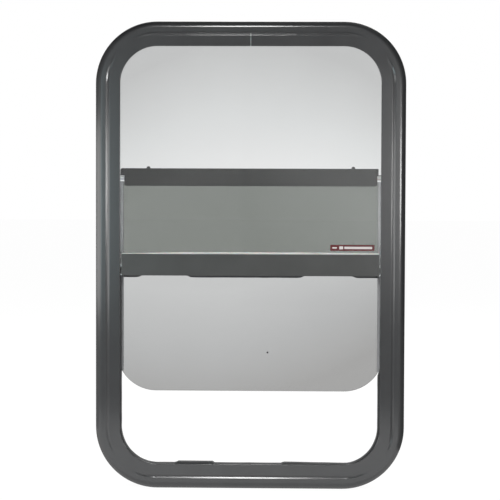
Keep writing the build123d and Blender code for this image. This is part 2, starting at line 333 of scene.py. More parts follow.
@dataclass(frozen=True)
class CopedCoat(PowderCoat):
    """Powder coat that was milled away where the rail's ends were coped, so that bright metal shows there."""

    coat_end_mm: float = 166.4
    metal: str = "#c9cbcc"
    edge_mm: float = 0.2

    def paint(self, work: Paintwork) -> None:
        """Paint the coat, then bare metal past the coat's ends.

        Args:
            work: the material in the making.
        """
        super().paint(work)
        coat = work.shader.inputs["Base Color"].links[0].from_socket
        axes = add_node(work.tree, "ShaderNodeSeparateXYZ", links={0: work.coords})
        away = add_node(work.tree, "ShaderNodeMath", {"operation": "ABSOLUTE"}, {0: axes.outputs[0]})
        edge = {"From Min": self.coat_end_mm * MM, "From Max": (self.coat_end_mm + self.edge_mm) * MM}
        bare = add_node(work.tree, "ShaderNodeMapRange", edge, {"Value": away.outputs[0]})
        ends = {"data_type": "RGBA", MIX_SECOND: linear(self.metal)}
        mix = add_node(work.tree, "ShaderNodeMix", ends, {0: bare.outputs[0], MIX_FIRST: coat})
        work.feed("Base Color", mix.outputs[MIX_RESULT])
        work.feed("Metallic", bare.outputs[0])


@dataclass(frozen=True)
class BrushedMetal(SolidFinish):
    """Mill-finish or plated metal, drawn or brushed one way, which pulls highlights out along the lines."""

    patch_mm: float = 2.0
    # Drawing lines are finer than this on the real metal; drawn coarser so that they show
    grain_mm: float = 0.5
    grain_depth_mm: float = 0.01
    line_length_mm: float = 30.0
    roughness: float = 0.34

    def sockets(self) -> dict[str, float]:
        """Return bare metal's values."""
        return {"Metallic": 1.0, "Roughness": self.roughness}

    def paint(self, work: Paintwork) -> None:
        """Draw the patterns out into lines along X.

        Args:
            work: the material in the making.
        """
        squeeze = {"Scale": (self.grain_mm / self.line_length_mm, 1.0, 1.0)}
        drawn = add_node(work.tree, "ShaderNodeMapping", squeeze, {"Vector": work.coords})
        super().paint(replace(work, coords=drawn.outputs[0]))


@dataclass(frozen=True)
class TintedGlass(Finish):
    """Body-tinted float glass whose tint changes gently from height to height: painted reflection and shade,
    smeared a little.
    """

    # Heights in millimetres, each with the colour that white shows through the sheet there, painted
    # reflection and shade included
    shades: tuple[tuple[float, str], ...]
    # How the shades stray from level: up to the right, and at both sides per millimetre squared
    lean: float = 0.0
    bow: float = 0.0
    smear_mm: float = 70.0
    smear: float = 14.0
    # A band of painted shade along the head: the heights where it starts and is full, and what it lets
    # through
    band: Pair | None = None
    band_hue: str = "#ffffff"

    def sockets(self) -> dict[str, float]:
        """Return polished glass's values."""
        return {"Transmission Weight": 1.0, "IOR": 1.5, "Roughness": 0.0}

    def paint(self, work: Paintwork) -> None:
        """Add a tint that follows the height, with painted reflection and shade, and the band of painted
        shade where the sheet has one.

        Args:
            work: the material in the making.
        """
        axes = add_node(work.tree, "ShaderNodeSeparateXYZ", links={0: work.coords})
        across, height = axes.outputs[0], axes.outputs[2]
        tint = self.tint(work.tree, self.strayed_height(work, across, height))
        # The band is painted shade laid over the tint
        if self.band:
            rise = {"From Min": self.band[0] * MM, "From Max": self.band[1] * MM}
            rise["interpolation_type"] = "SMOOTHSTEP"
            share = add_node(work.tree, "ShaderNodeMapRange", rise, {"Value": height})
            ends = {"data_type": "RGBA", MIX_FIRST: linear("#ffffff"), MIX_SECOND: linear(self.band_hue)}
            shade_band = add_node(work.tree, "ShaderNodeMix", ends, {0: share.outputs[0]})
            layers = {MIX_FIRST: tint, MIX_SECOND: shade_band.outputs[MIX_RESULT]}
            product = {"data_type": "RGBA", "blend_type": "MULTIPLY", 0: 1.0}
            tint = add_node(work.tree, "ShaderNodeMix", product, layers).outputs[MIX_RESULT]
        work.feed("Base Color", tint)

    def strayed_height(self, work: Paintwork, across: Socket, height: Socket) -> Socket:
        """Let the height lean, bow and smear.

        Args:
            work: the material in the making.
            across: distance to the right of the middle.
            height: height in the frame's axes.

        Returns:
            The height whose shade is taken.
        """
        smear = {"Scale": per_metre(self.smear_mm), "Detail": 1.0}
        smears = add_node(work.tree, "ShaderNodeTexNoise", smear, {"Vector": work.coords})
        by_smear = {"operation": "MULTIPLY_ADD", 1: self.smear * MM}
        smeared_height = add_node(work.tree, "ShaderNodeMath", by_smear, {0: smears.outputs[0], 2: height})
        by_side = {"operation": "MULTIPLY_ADD", 1: self.bow / MM, 2: self.lean}
        slope = add_node(work.tree, "ShaderNodeMath", by_side, {0: across})
        terms = {0: slope.outputs[0], 1: across, 2: smeared_height.outputs[0]}
        return add_node(work.tree, "ShaderNodeMath", {"operation": "MULTIPLY_ADD"}, terms).outputs[0]

    def tint(self, tree: Tree, height: Socket) -> Socket:
        """Turn a height into the colour that shows through there.

        Args:
            tree: node tree of the material.
            height: the height.

        Returns:
            The colour.
        """
        low, high = self.shades[0][0], self.shades[-1][0]
        span = {"From Min": low * MM, "From Max": high * MM}
        share = add_node(tree, "ShaderNodeMapRange", span, {"Value": height})
        ramp = add_node(tree, "ShaderNodeValToRGB", links={0: share.outputs[0]})
        stops = ramp.color_ramp.elements
        while len(stops) < len(self.shades):
            stops.new(0.5)
        for stop, (level, hue) in zip(stops, self.shades):
            stop.position = (level - low) / (high - low)
            stop.color = linear(hue)
        return ramp.outputs[0]


@dataclass(frozen=True)
class ExtrudedRubber(SolidFinish):
    """EPDM extruded through a die: near black and matte, with a greyish bloom and a fine drag texture."""

    patch_mm: float = 22.0
    gloss: Pair = (0.55, 0.72)
    gloss_patch_mm: float = 22.0
    grain_mm: float = 0.7
    grain_depth_mm: float = 0.02


@dataclass(frozen=True)
class Flock(SolidFinish):
    """Short nylon fibre glued upright on rubber: soft, with a velvet sheen at the edges."""

    # Real fibres stand about 0.05 mm apart; drawn coarser so that they show
    patch_mm: float = 0.5
    grain_mm: float = 0.5
    grain_depth_mm: float = 0.15

    def sockets(self) -> dict[str, float]:
        """Return the values of a rough surface with sheen."""
        return {"Roughness": 0.95, "Sheen Weight": 0.6, "Sheen Roughness": 0.4}


@dataclass(frozen=True)
class BrushFibre(SolidFinish):
    """Polypropylene brush pile: dark grey fibres that differ a little in shade."""

    patch_mm: float = 0.9

    def sockets(self) -> dict[str, float]:
        """Return the gloss of soft plastic."""
        return {"Roughness": 0.7}


@dataclass(frozen=True)
class MouldedNylon(SolidFinish):
    """Nylon from a spark-eroded mould: an even fine texture with a dull shine."""

    patch_mm: float = 12.0
    gloss: Pair = (0.38, 0.5)
    gloss_patch_mm: float = 12.0
    # The mould's texture is about 0.1 mm; drawn coarser so that it shows
    grain_mm: float = 0.6
    grain_depth_mm: float = 0.015
    # Light that is scattered inside it where it is pale
    glow: float = 0.0
    glow_mm: float = 1.0

    def sockets(self) -> dict[str, float]:
        """Return how light scatters in it."""
        return {"Subsurface Weight": self.glow, "Subsurface Scale": self.glow_mm * MM}


@dataclass(frozen=True)
class SoftVinyl(SolidFinish):
    """Plasticised PVC or silicone: smooth and a little see-through, so its rim has a clear highlight."""

    patch_mm: float = 35.0
    # A slow ripple from how it was laid
    grain_mm: float = 9.0
    grain_depth_mm: float = 0.05
    roughness: float = 0.22
    glow: float = 0.3
    glow_mm: float = 2.0

    def sockets(self) -> dict[str, float]:
        """Return its gloss and how light scatters in it."""
        scatter = {"Subsurface Weight": self.glow, "Subsurface Scale": self.glow_mm * MM}
        return {"Roughness": self.roughness, **scatter}


FRAME_COAT = PowderCoat(
    "semi-gloss powder coat, charcoal", ("#1c1d1f", "#212224"), gloss=(0.55, 0.62), clear=1.0
)
# The sash rail behind the glass gets a darker copy of the rails' coat: painted shade
SHADED_RAIL_COAT = PowderCoat("satin powder coat, sash rail, painted shade", ("#1d1e1d", "#222322"), gloss=(0.28, 0.31))
COPED_COAT = CopedCoat("satin powder coat, coped rail", ("#414241", "#474847"))
RING_COAT = PowderCoat("satin powder coat, clamp ring", ("#3d3d3f", "#474849"), gloss=(0.36, 0.46))
MILL_ALUMINIUM = BrushedMetal("mill-finish aluminium", ("#b4b6b8", "#c4c6c7"))
ZINC_STEEL = BrushedMetal("zinc plated steel", ("#a3a6a8", "#bdbfbf"), roughness=0.28)
# The change of the fixed pane's tint with height is painted reflection and shade
FIXED_GLASS = TintedGlass(
    "tinted float glass, fixed pane",
    ((-10.0, "#e6e7e6"), (90.0, "#e9eaea"), (120.0, "#eaebeb"), (190.0, "#dcdede"), (285.0, "#c5c6c6")),
    bow=0.002,
)
# The sash pane's tint by height and its darker band along the head are painted reflection and shade
SASH_GLASS = TintedGlass(
    "tinted float glass, sash pane",
    ((-180.0, "#a6a6a5"), (-110.0, "#b7b8b8"), (-32.0, "#c9caca"), (0.0, "#cacbcb")),
    lean=-0.2,
    bow=-0.0012,
    band=(-24.0, 4.0),
    band_hue="#b0b4ae",
)
RUBBER = ExtrudedRubber("extruded rubber", ("#17181a", "#222325"))
FLOCK = Flock("flocked rubber", ("#1c1c1e", "#303033"))
PILE = BrushFibre("brush pile", ("#1e1f21", "#3a3b3e"))
# One grey nylon in two copies: the darker is painted shade for the left edge strip, the lighter painted light
# for the right
SHADED_GREY_NYLON = MouldedNylon("moulded nylon, painted shade grey", ("#838486", "#8c8d8f"))
LIT_GREY_NYLON = MouldedNylon("moulded nylon, painted light grey", ("#a6a7a9", "#b0b1b3"))
BLACK_NYLON = MouldedNylon("moulded nylon, black", ("#161617", "#1e1e20"))
WHITE_NYLON = MouldedNylon("moulded nylon, white", ("#f2f1ed", "#faf9f5"), glow=0.15)
PALE_VINYL = SoftVinyl("soft vinyl, pale grey", ("#c4c6c3", "#dcddda"))
# A pale filling in the butt joint that stands in for light seen through the gap: painted light
LIT_GAP_FILLER = SoftVinyl("pale joint filler, painted light", ("#8d8e8c", "#a2a3a1"), roughness=0.4)
MAROON_FILM = SoftVinyl("vinyl film, maroon", ("#5a2226", "#64282b"), glow=0.0)
WHITE_FILM = SoftVinyl("vinyl film, white", ("#d9d2d1", "#e4dedd"), glow=0.0)


@dataclass(frozen=True)
class Corner:
    """A corner of a flat section, with the radius that rounds it."""

    across: float
    along: float
    radius: float = 0.25


def round_off(corners: Sequence[Corner], step_deg: float = 15.0) -> list[Vector]:
    """Turn the corners of a closed section into an outline of straight runs and tangent arcs.

    Args:
        corners: corners in order.
        step_deg: largest turn between two points of an arc.

    Returns:
        Points of the outline.
    """
    outline: list[Vector] = []
    places = [Vector((c.across, c.along)) for c in corners]
    for k, here in enumerate(places):
        back = places[k - 1] - here
        on = places[(k + 1) % len(places)] - here
        turn = math.pi - back.angle(on)
        sides = min(back.length, on.length)
        reach = min(corners[k].radius * math.tan(turn / 2), ARC_SHARE * sides)
        radius = reach / math.tan(turn / 2)
        middle = here + (back.normalized() + on.normalized()).normalized() * radius / math.cos(turn / 2)
        first = here + back.normalized() * reach - middle
        last = here + on.normalized() * reach - middle
        steps = max(1, math.ceil(math.degrees(turn) / step_deg))
        for part in spaced(0.0, 1.0, steps):
            arm = first * math.sin((1 - part) * turn) + last * math.sin(part * turn)
            outline.append(middle + arm / math.sin(turn))
    return outline


def ring_about(place: Matrix, height: float, radii: Sequence[float]) -> list[Vector]:
    """Return a ring about the Z axis of a place, with a radius for each of its evenly spaced points."""
    turns = zip(radii, angles(len(radii)))
    return [place @ Vector((r * math.cos(a), r * math.sin(a), height)) for r, a in turns]


@dataclass
class Shape:
    """Points in millimetres and faces, gathered until they become one mesh."""

    points: list[Vector] = field(default_factory=list)
    faces: list[tuple[int, ...]] = field(default_factory=list)

    def skin(self, rings: Sequence[Sequence[Vector]], capped: bool = True) -> Self:
        """Stretch a skin over closed rings of equally many points.

        Args:
            rings: the rings in order.
            capped: whether the first and last ring are closed.

        Returns:
            The shape itself.
        """
        start, count = len(self.points), len(rings[0])
        if any(len(ring) != count for ring in rings):
            raise ValueError("the rings of a skin have unequal numbers of points")
        for ring in rings:
            self.points.extend(ring)
        for row in range(len(rings) - 1):
            low = start + row * count
            for k in range(count):
                on = (k + 1) % count
                self.faces.append((low + k, low + on, low + count + on, low + count + k))
        if capped:
            self.faces.append(tuple(range(start + count - 1, start - 1, -1)))
            end = start + (len(rings) - 1) * count
            self.faces.append(tuple(range(end, end + count)))
        return self

    def stretch(
        self, start: float, stop: float, step: float, section: Callable[[float], Sequence[Corner]]
    ) -> Self:
        """Stretch a skin along X, over a section that changes on the way.

        Args:
            start: place across of the first section.
            stop: place across of the last one.
            step: longest way from one section to the next.
            section: gives the corners at a place across, in depth and height.

        Returns:
            The shape itself.
        """
        places = spaced(start, stop, math.ceil((stop - start) / step))
        return self.skin([[Vector((x, p.x, p.y)) for p in round_off(section(x))] for x in places])

    def turn(self, profile: Sequence[Pair], place: Matrix, count: int = 24) -> Self:
        """Turn a profile about the Z axis of a place.

        Args:
            profile: radius and height of each ring, from the foot up.
            place: where the turned piece stands.
            count: points round a ring.

        Returns:
            The shape itself.
        """
        return self.skin([ring_about(place, height, [radius] * count) for radius, height in profile])

    def mesh(self, name: str, sharp_deg: float = SHARP_DEG) -> bpy.types.Mesh:
        """Make a mesh in metres, smooth up to an angle.

        Args:
            name: name of the mesh.
            sharp_deg: edges that turn more than this stay sharp.

        Returns:
            The new mesh.
        """
        made = bpy.data.meshes.new(name)
        made.from_pydata([p * MM for p in self.points], [], self.faces)
        work = bmesh.new()
        work.from_mesh(made)
        bmesh.ops.recalc_face_normals(work, faces=work.faces)
        work.to_mesh(made)
        work.free()
        made.shade_smooth()
        made.set_sharp_from_angle(angle=math.radians(sharp_deg))
        return made


def add_object(name: str, data: bpy.types.ID) -> bpy.types.Object:
    """Add an object with its data to the scene.

    Args:
        name: name of the object.
        data: its mesh, light or camera.

    Returns:
        The new object.
    """
    made = bpy.data.objects.new(name, data)
    bpy.context.scene.collection.objects.link(made)
    return made


def hide_from(thing: bpy.types.Object, *rays: str) -> None:
    """Keep an object from being met by some kinds of ray."""
    for ray in rays:
        setattr(thing, f"visible_{ray}", False)


def add_piece(
    name: str,
    shape: Shape,
    finish: Finish,
    body: Body,
    stands_for: Sequence[str] = (),
    sharp_deg: float = SHARP_DEG,
) -> bpy.types.Object:
    """Turn a shape into a piece that rides on a body.

    Args:
        name: name of the piece.
        shape: its points and faces.
        finish: its surface.
        body: body that carries it.
        stands_for: nodes of the frame that it replaces.
        sharp_deg: edges that turn more than this stay sharp.

    Returns:
        The new object.
    """
    piece = add_object(name, shape.mesh(name, sharp_deg))
    piece.data.materials.append(finish.material())
    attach(piece, body.value)
    if stands_for:
        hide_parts(*stands_for)
    LOG.info("%s: %d faces on %s, %s", name, len(piece.data.polygons), body.value, finish.name)
    return piece


def dress(node: str, finish: Finish) -> None:
    """Give a node of the frame its finish.

    Args:
        node: name of the node.
        finish: its surface.
    """
    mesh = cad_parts[node].data
    mesh.materials.clear()
    mesh.materials.append(finish.material())
    LOG.info("%s: %s", node, finish.name)


def node_box(node: str) -> tuple[Vector, Vector]:
    """Return a node's lowest and highest corner in millimetres."""
    low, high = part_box(node)
    return low / MM, high / MM


@dataclass(frozen=True)
class Station:
    """A place on the flange's edge: where it is, which way is inward, and how far round it lies."""

    point: Vector
    inward: Vector
    run: float

    def ring(self, outline: Sequence[Vector]) -> list[Vector]:
        """Stand a section drawn in u and y on this place."""
        return [Vector((*(self.point + self.inward * p.x), p.y)).xzy for p in outline]


@dataclass(frozen=True)
class EdgePath:
    """The flange's edge: a rounded rectangle, walked clockwise from the middle of its top."""

    half_width: float
    half_height: float
    radius: float

    def legs(self) -> list[float]:
        """Measure the straight runs and the bends between them.

        Returns:
            Their lengths in order, from the middle of the top.
        """
        across, upright = self.half_width - self.radius, 2 * (self.half_height - self.radius)
        bend = self.radius * math.pi / 2
        return [across, bend, upright, bend, 2 * across, bend, upright, bend, across]

    def length(self) -> float:
        """Return the length of the whole way round."""
        return sum(self.legs())

    def right_side_run(self, height: float) -> float:
        """Return how far round a height on the right-hand side lies."""
        across, bend = self.legs()[:2]
        return across + bend + self.half_height - self.radius - height

    def at(self, run: float) -> Station:
        """Walk a distance round the edge.

        Args:
            run: distance from the middle of the top.

        Returns:
            The place that is reached.
        """
        point, heading, left = Vector((0.0, self.half_height)), 0.0, run
        inward = Vector((0.0, -1.0))
        for number, leg in enumerate(self.legs()):
            step = min(left, leg)
            if number % 2 == 0:
                point = point + step * Vector((math.cos(heading), math.sin(heading)))
            else:
                centre = point + inward * self.radius
                heading -= step / self.radius
                inward = Vector((math.sin(heading), -math.cos(heading)))
                point = centre - inward * self.radius
            left -= step
            if left <= 0:
                break
        return Station(point, inward, run)

    def stations(self, start: float, stop: float, straight_mm: float, bend_mm: float) -> list[Station]:
        """Divide a stretch of the edge.

        Args:
            start: run where the stretch starts.
            stop: run where it ends.
            straight_mm: longest step on a straight run.
            bend_mm: longest step round a bend.

        Returns:
            The places in order.
        """
        runs, begun = [start], 0.0
        for number, leg in enumerate(self.legs()):
            low, high = max(start, begun), min(stop, begun + leg)
            begun += leg
            if high > low:
                steps = math.ceil((high - low) / (bend_mm if number % 2 else straight_mm))
                runs.extend(spaced(low, high, steps)[1:])
        return [self.at(run) for run in runs]

    def all_round(self, straight_mm: float, bend_mm: float) -> list[Station]:
        """Divide the whole way round, apart from the gap of the butt joint."""
        return self.stations(JOINT_GAP / 2, self.length() - JOINT_GAP / 2, straight_mm, bend_mm)


@dataclass(frozen=True)
class FrameExtrusion:
    """The bent frame: beaded flange, lip, two channels and a screw race, butt-jointed at the top."""

    edge: EdgePath
    # The front, from the toe over the bead and the groove to the lip
    toe_rise: float = 2.4
    toe_round: float = 2.0
    bead_crest: float = 5.0
    bead_peak: float = 6.85
    bead_round: float = 10.0
    shoulder: float = 13.3
    shoulder_round: float = 1.2
    groove: float = 15.4
    groove_rise: float = 5.87
    groove_round: float = 0.4
    step: float = 18.0
    step_round: float = 2.0
    lip_rise: float = 6.67
    lip_back: float = -4.5
    lip_round: float = 0.9
    # Bending presses the groove out between these distances inward
    pressed: Pair = (12.4, 20.0)
    # The back: web, fin between the channels, back lip, screw race, and the hollow of the flange
    web_outer: float = 20.0
    web_inner: float = 21.8
    fin_tip: float = 29.0
    fin: Pair = (4.5, 6.3)
    back_lip_tip: float = 28.5
    back_lip: Pair = (19.7, 21.5)
    race: Pair = (25.0, 26.8)
    grip: float = 28.0
    hollow: Pair = (2.2, 17.6)
    bead_hollow: float = 4.4
    groove_hollow: float = 3.9
    # Arcs fine enough for smooth highlights; flats longer than a run have points close to both ends
    arc_step_deg: float = 6.0
    flat_run: float = 1.5
    flat_end: float = 0.25
    # The filling of the butt joint: dark across the bead, and pale beyond it as painted light seen through
    # the gap
    fill_start: float = 0.3
    fill_depth: float = 1.6
    fill_steps: int = 16
    filler_sink: float = 0.05
    lit_filler_sink: float = 0.35

    def front(self) -> list[Corner]:
        """Draw the part of the section that shows from outside.

        Returns:
            Its corners, from the toe to the tip of the lip.
        """
        return [
            Corner(0.0, -self.toe_rise, self.toe_round),
            Corner(self.bead_crest, -self.bead_peak, self.bead_round),
            Corner(self.shoulder, -self.bead_peak, self.shoulder_round),
            Corner(self.groove, -self.groove_rise, self.groove_round),
            Corner(self.step, -self.lip_rise, self.step_round),
            Corner(LIP_TIP, -self.lip_rise, self.lip_round),
            Corner(LIP_TIP, self.lip_back, self.lip_round),
        ]

    def back(self) -> list[Corner]:
        """Draw the part of the section behind the lip.

        Returns:
            Its corners, round the channels and the race to the grooved flange.
        """
        (fin_front, fin_back), (lip_front, lip_back) = self.fin, self.back_lip
        (race_inner, race_outer), inner = self.race, self.web_inner
        hollow_start, hollow_stop = self.hollow
        places = [
            (inner, self.lip_back), (inner, fin_front), (self.fin_tip, fin_front),
            (self.fin_tip, fin_back), (inner, fin_back), (inner, lip_front),
            (self.back_lip_tip, lip_front), (self.back_lip_tip, lip_back), (race_outer, lip_back),
            (race_outer, self.grip), (race_inner, self.grip), (race_inner, lip_back),
            (inner, lip_back), (inner, self.grip), (self.web_outer, self.grip),
            (self.web_outer, 0.0), (hollow_stop, 0.0), (self.groove, -self.groove_hollow),
            (self.bead_crest, -self.bead_hollow), (hollow_start, 0.0), (0.0, 0.0),
        ]
        return [Corner(u, y) for u, y in places]

    def outline(self) -> list[Vector]:
        """Draw the whole section of a straight run.

        Returns:
            Points of its outline.
        """
        rounded = round_off(self.front() + self.back(), self.arc_step_deg)
        outline: list[Vector] = []
        for here, on in zip(rounded, rounded[1:] + rounded[:1]):
            outline.append(here)
            run = (on - here).length
            if run > self.flat_run:
                share = self.flat_end / run
                outline.extend((here.lerp(on, share), on.lerp(here, share)))
        return outline

    def section_at(self, place: Station, outline: Sequence[Vector]) -> list[Vector]:
        """Return the section at a place, with the groove pressed out where the frame is bent.

        Args:
            place: the place on the flange's edge.
            outline: the section of a straight run.

        Returns:
            As many points as the outline has.
        """
        # Nought on straight runs, and 1 in the middle of a bend
        bent = ease(abs(2 * place.inward.x * place.inward.y))
        start, stop = self.pressed
        section = []
        for p in outline:
            if start < p.x < stop and p.y < -self.bead_hollow:
                flat = -self.bead_peak + (self.bead_peak - self.lip_rise) * (p.x - start) / (stop - start)
                section.append(Vector((p.x, p.y + (flat - p.y) * bent)))
            else:
                section.append(p)
        return section

    def depth_at(self, u: float, outline: Sequence[Vector]) -> float:
        """Return the depth of a section's front.

        Args:
            u: distance inward.
            outline: the section.

        Returns:
            The depth there.
        """
        for here, on in zip(outline, outline[1:]):
            if here.x <= u < on.x:
                return here.y + (on.y - here.y) * (u - here.x) / (on.x - here.x)
        return -self.lip_rise

    def fill(self, start: float, stop: float, sink: float) -> list[Vector]:
        """Return the section of the joint's filling between two distances inward.

        Args:
            start: where the filling starts.
            stop: where it ends.
            sink: how far its face lies behind the frame's.

        Returns:
            Its outline.
        """
        outline = self.outline()
        face = [Vector((u, self.depth_at(u, outline) + sink)) for u in spaced(start, stop, self.fill_steps)]
        return face + [Vector((p.x, p.y + self.fill_depth)) for p in reversed(face)]

    def build(self) -> None:
        """Make the frame and the filling of its butt joint."""
        outline = self.outline()
        places = self.edge.all_round(straight_mm=60.0, bend_mm=4.5)
        shape = Shape().skin([place.ring(self.section_at(place, outline)) for place in places])
        add_piece("flange_frame", shape, FRAME_COAT, Body.FRAME, ["outer_frame"])
        top = self.edge.half_height
        sides = (-JOINT_GAP / 2, JOINT_GAP / 2)
        # The pale part of the filling is painted light, standing in for light seen through the gap
        fills = (
            ("joint_filler", FRAME_COAT, self.fill_start, self.groove, self.filler_sink),
            ("joint_lit_filler", LIT_GAP_FILLER, self.groove, LIP_TIP - self.lip_round, self.lit_filler_sink),
        )
        for name, finish, start, stop, sink in fills:
            section = self.fill(start, stop, sink)
            shape = Shape().skin([[Vector((x, p.y, top - p.x)) for p in section] for x in sides])
            add_piece(name, shape, finish, Body.FRAME)


@dataclass(frozen=True)
class ClampRing:
    """The crowned ring on the inner skin, its countersunk screws, and the riveted plate behind the joint."""

    edge: EdgePath
    inset: float = 7.0
    inner: float = 26.8
    foot: float = 28.0
    # The depth of the crowned face at its outer edge, its middle and its inner edge
    crown: Triple = (28.9, 30.6, 30.2)
    crown_steps: int = 10
    # The bevel along the face's edges: how far in, and how deep
    bevel_inset: float = 0.2
    bevel_depth: float = 0.5
    screw_count: int = 14
    screw_inset: float = 23.4
    head_radius: float = 3.5
    head_steps: int = 32
    # Rings of a screw's head: how far past the head's radius, and how high
    head_rings: tuple[Pair, ...] = ((-1.6, -1.7), (-0.05, -0.18), (-0.3, 0.0))
    # Rings of its recess: their share of the cross, and how high
    recess_rings: tuple[Pair, ...] = ((1.0, 0.08), (0.55, -1.1))
    arm_length: float = 1.8
    arm_half_width: float = 0.42
    hole_radius: float = 2.0
    hole_depth: float = 4.0
    # How far the countersink's cutter reaches out of the face
    sink_over: float = 0.7
    rivet_radius: float = 2.7
    rivet_rise: float = 1.2
    rivets_across: tuple[float, ...] = (-23.0, -10.0, 10.0, 23.0)
    # Rings of a rivet's dome: shares of its radius and of its rise
    dome: tuple[Pair, ...] = ((1.0, 0.0), (1.0, 0.25), (0.92, 0.55), (0.7, 0.85), (0.36, 1.0), (0.3, 0.8))
    seed: int = 7

    def height(self, u: float) -> float:
        """Return the depth of the crowned face.

        Args:
            u: distance inward.

        Returns:
            The depth there, on the parabola through the three depths of the crown.
        """
        t = (u - self.inset) / (self.inner - self.inset)
        start, middle, end = self.crown
        return start * (1 - t) * (1 - 2 * t) + middle * 4 * t * (1 - t) + end * t * (2 * t - 1)

    def section(self) -> list[Vector]:
        """Draw the ring's section.

        Returns:
            Points of its outline in u and y.
        """
        first, last = self.inset + self.bevel_inset, self.inner - self.bevel_inset
        face = [(u, self.height(u)) for u in spaced(first, last, self.crown_steps)]
        feet = [
            (self.inner, self.height(self.inner) - self.bevel_depth),
            (self.inner, self.foot),
            (self.inset, self.foot),
            (self.inset, self.crown[0] - self.bevel_depth),
        ]
        return [Vector(place) for place in face + feet]

    def screw_places(self) -> list[Matrix]:
        """Space the screws evenly round the ring.

        Returns:
            Where each one stands, with its Z axis into the room.
        """
        places = []
        for k in range(self.screw_count):
            place = self.edge.at(self.edge.length() * (k + 0.5) / self.screw_count)
            spot = place.point + place.inward * self.screw_inset
            lift = Vector((spot.x, self.height(self.screw_inset), spot.y))
            places.append(Matrix.Translation(lift) @ INTO_ROOM)
        return places

    def cross(self, angle: float) -> float:
        """Return the radius of a cross recess.

        Args:
            angle: the way from its middle.

        Returns:
            How far it reaches that way.
        """
        c, s = max(abs(math.cos(angle)), TINY), max(abs(math.sin(angle)), TINY)
        long, short = self.arm_length, self.arm_half_width
        return max(min(long / c, short / s), min(short / c, long / s))

    def build(self) -> None:
        """Make the ring with its holes, the screws and the rivets."""
        section = self.section()
        places = self.edge.all_round(straight_mm=35.0, bend_mm=4.5)
        shape = Shape().skin([place.ring(section) for place in places])
        ring = add_piece("inner_clamp_ring", shape, RING_COAT, Body.FRAME, ["clamp_ring"])
        self.drill(ring)
        self.add_screws()
        self.add_rivets()

    def drill(self, ring: bpy.types.Object) -> None:
        """Cut the countersunk holes.

        Args:
            ring: the clamp ring.
        """
        cutter = Shape()
        sink, hole = self.head_radius - self.hole_radius, self.hole_radius
        rim = (self.head_radius + self.sink_over, self.sink_over)
        for place in self.screw_places():
            cutter.turn([(hole, -self.hole_depth), (hole, -sink), rim], place)
        tool = add_object("countersinks", cutter.mesh("countersinks"))
        cut = ring.modifiers.new("countersinks", "BOOLEAN")
        cut.object = tool
        cut.operation = "DIFFERENCE"
        cut.solver = "EXACT"
        drilled = bpy.data.meshes.new_from_object(ring.evaluated_get(bpy.context.evaluated_depsgraph_get()))
        ring.modifiers.clear()
        ring.data = drilled
        bpy.data.objects.remove(tool)
        drilled.set_sharp_from_angle(angle=math.radians(SHARP_DEG))

    def add_screws(self) -> None:
        """Make the countersunk cross-head screws, each turned its own way."""
        draw = random.Random(self.seed)
        cross = [self.cross(angle) for angle in angles(self.head_steps)]
        heads = Shape()
        for place in self.screw_places():
            turned = place @ Matrix.Rotation(draw.uniform(0, math.tau), 4, "Z")
            radii = [(self.head_radius + past, height) for past, height in self.head_rings]
            rings = [ring_about(turned, height, [radius] * self.head_steps) for radius, height in radii]
            for share, height in self.recess_rings:
                rings.append(ring_about(turned, height, [share * reach for reach in cross]))
            heads.skin(rings)
        add_piece("clamp_screws", heads, ZINC_STEEL, Body.FRAME)

    def add_rivets(self) -> None:
        """Make the domed rivets that hold the plate behind the butt joint, and dress the plate."""
        low, high = node_box("joint_plate")
        dome = [(wide * self.rivet_radius, tall * self.rivet_rise) for wide, tall in self.dome]
        rivets = Shape()
        for x in self.rivets_across:
            rivets.turn(dome, Matrix.Translation((x, (low.y + high.y) / 2, high.z)))
        add_piece("plate_rivets", rivets, MILL_ALUMINIUM, Body.FRAME)
        dress("joint_plate", MILL_ALUMINIUM)


@dataclass(frozen=True)
class GlassSheet:
    """A sheet of glass with two rounded corners and a ground arris all round."""

    node: str
    radius: float
    rounded_top: bool
    arris: float = 0.5
    corner_steps: int = 24

    def outline(self, inset: float, y: float) -> list[Vector]:
        """Return the sheet's outline.

        Args:
            inset: margin by which it is drawn in.
            y: depth of the outline.

        Returns:
            Its points.
        """
        low, high = node_box(self.node)
        half = high.x - inset
        foot, head = low.z + inset, high.z - inset
        square, round_end = (foot, head) if self.rounded_top else (head, foot)
        away = 1 if self.rounded_top else -1
        radius = self.radius - inset
        points = [Vector((half, y, square)), Vector((-half, y, square))]
        for side in (-1, 1):
            for part in spaced(0.0, 1.0, self.corner_steps):
                turn = (part if side < 0 else 1 - part) * math.pi / 2
                x = side * (half - radius + radius * math.cos(turn))
                points.append(Vector((x, y, round_end - away * radius * (1 - math.sin(turn)))))
        return points

    def build(self, name: str, finish: Finish, body: Body) -> None:
        """Make the sheet.

        Args:
            name: name of the piece.
            finish: its glass.
            body: body that carries it.
        """
        low, high = node_box(self.node)
        front, back, arris = low.y, high.y, self.arris
        depths = ((arris, front), (0.0, front + arris), (0.0, back - arris), (arris, back))
        shape = Shape().skin([self.outline(inset, y) for inset, y in depths])
        sheet = add_piece(name, shape, finish, body, [self.node], sharp_deg=20.0)
        # Lamp light passes through to the pieces behind
        hide_from(sheet, "shadow")


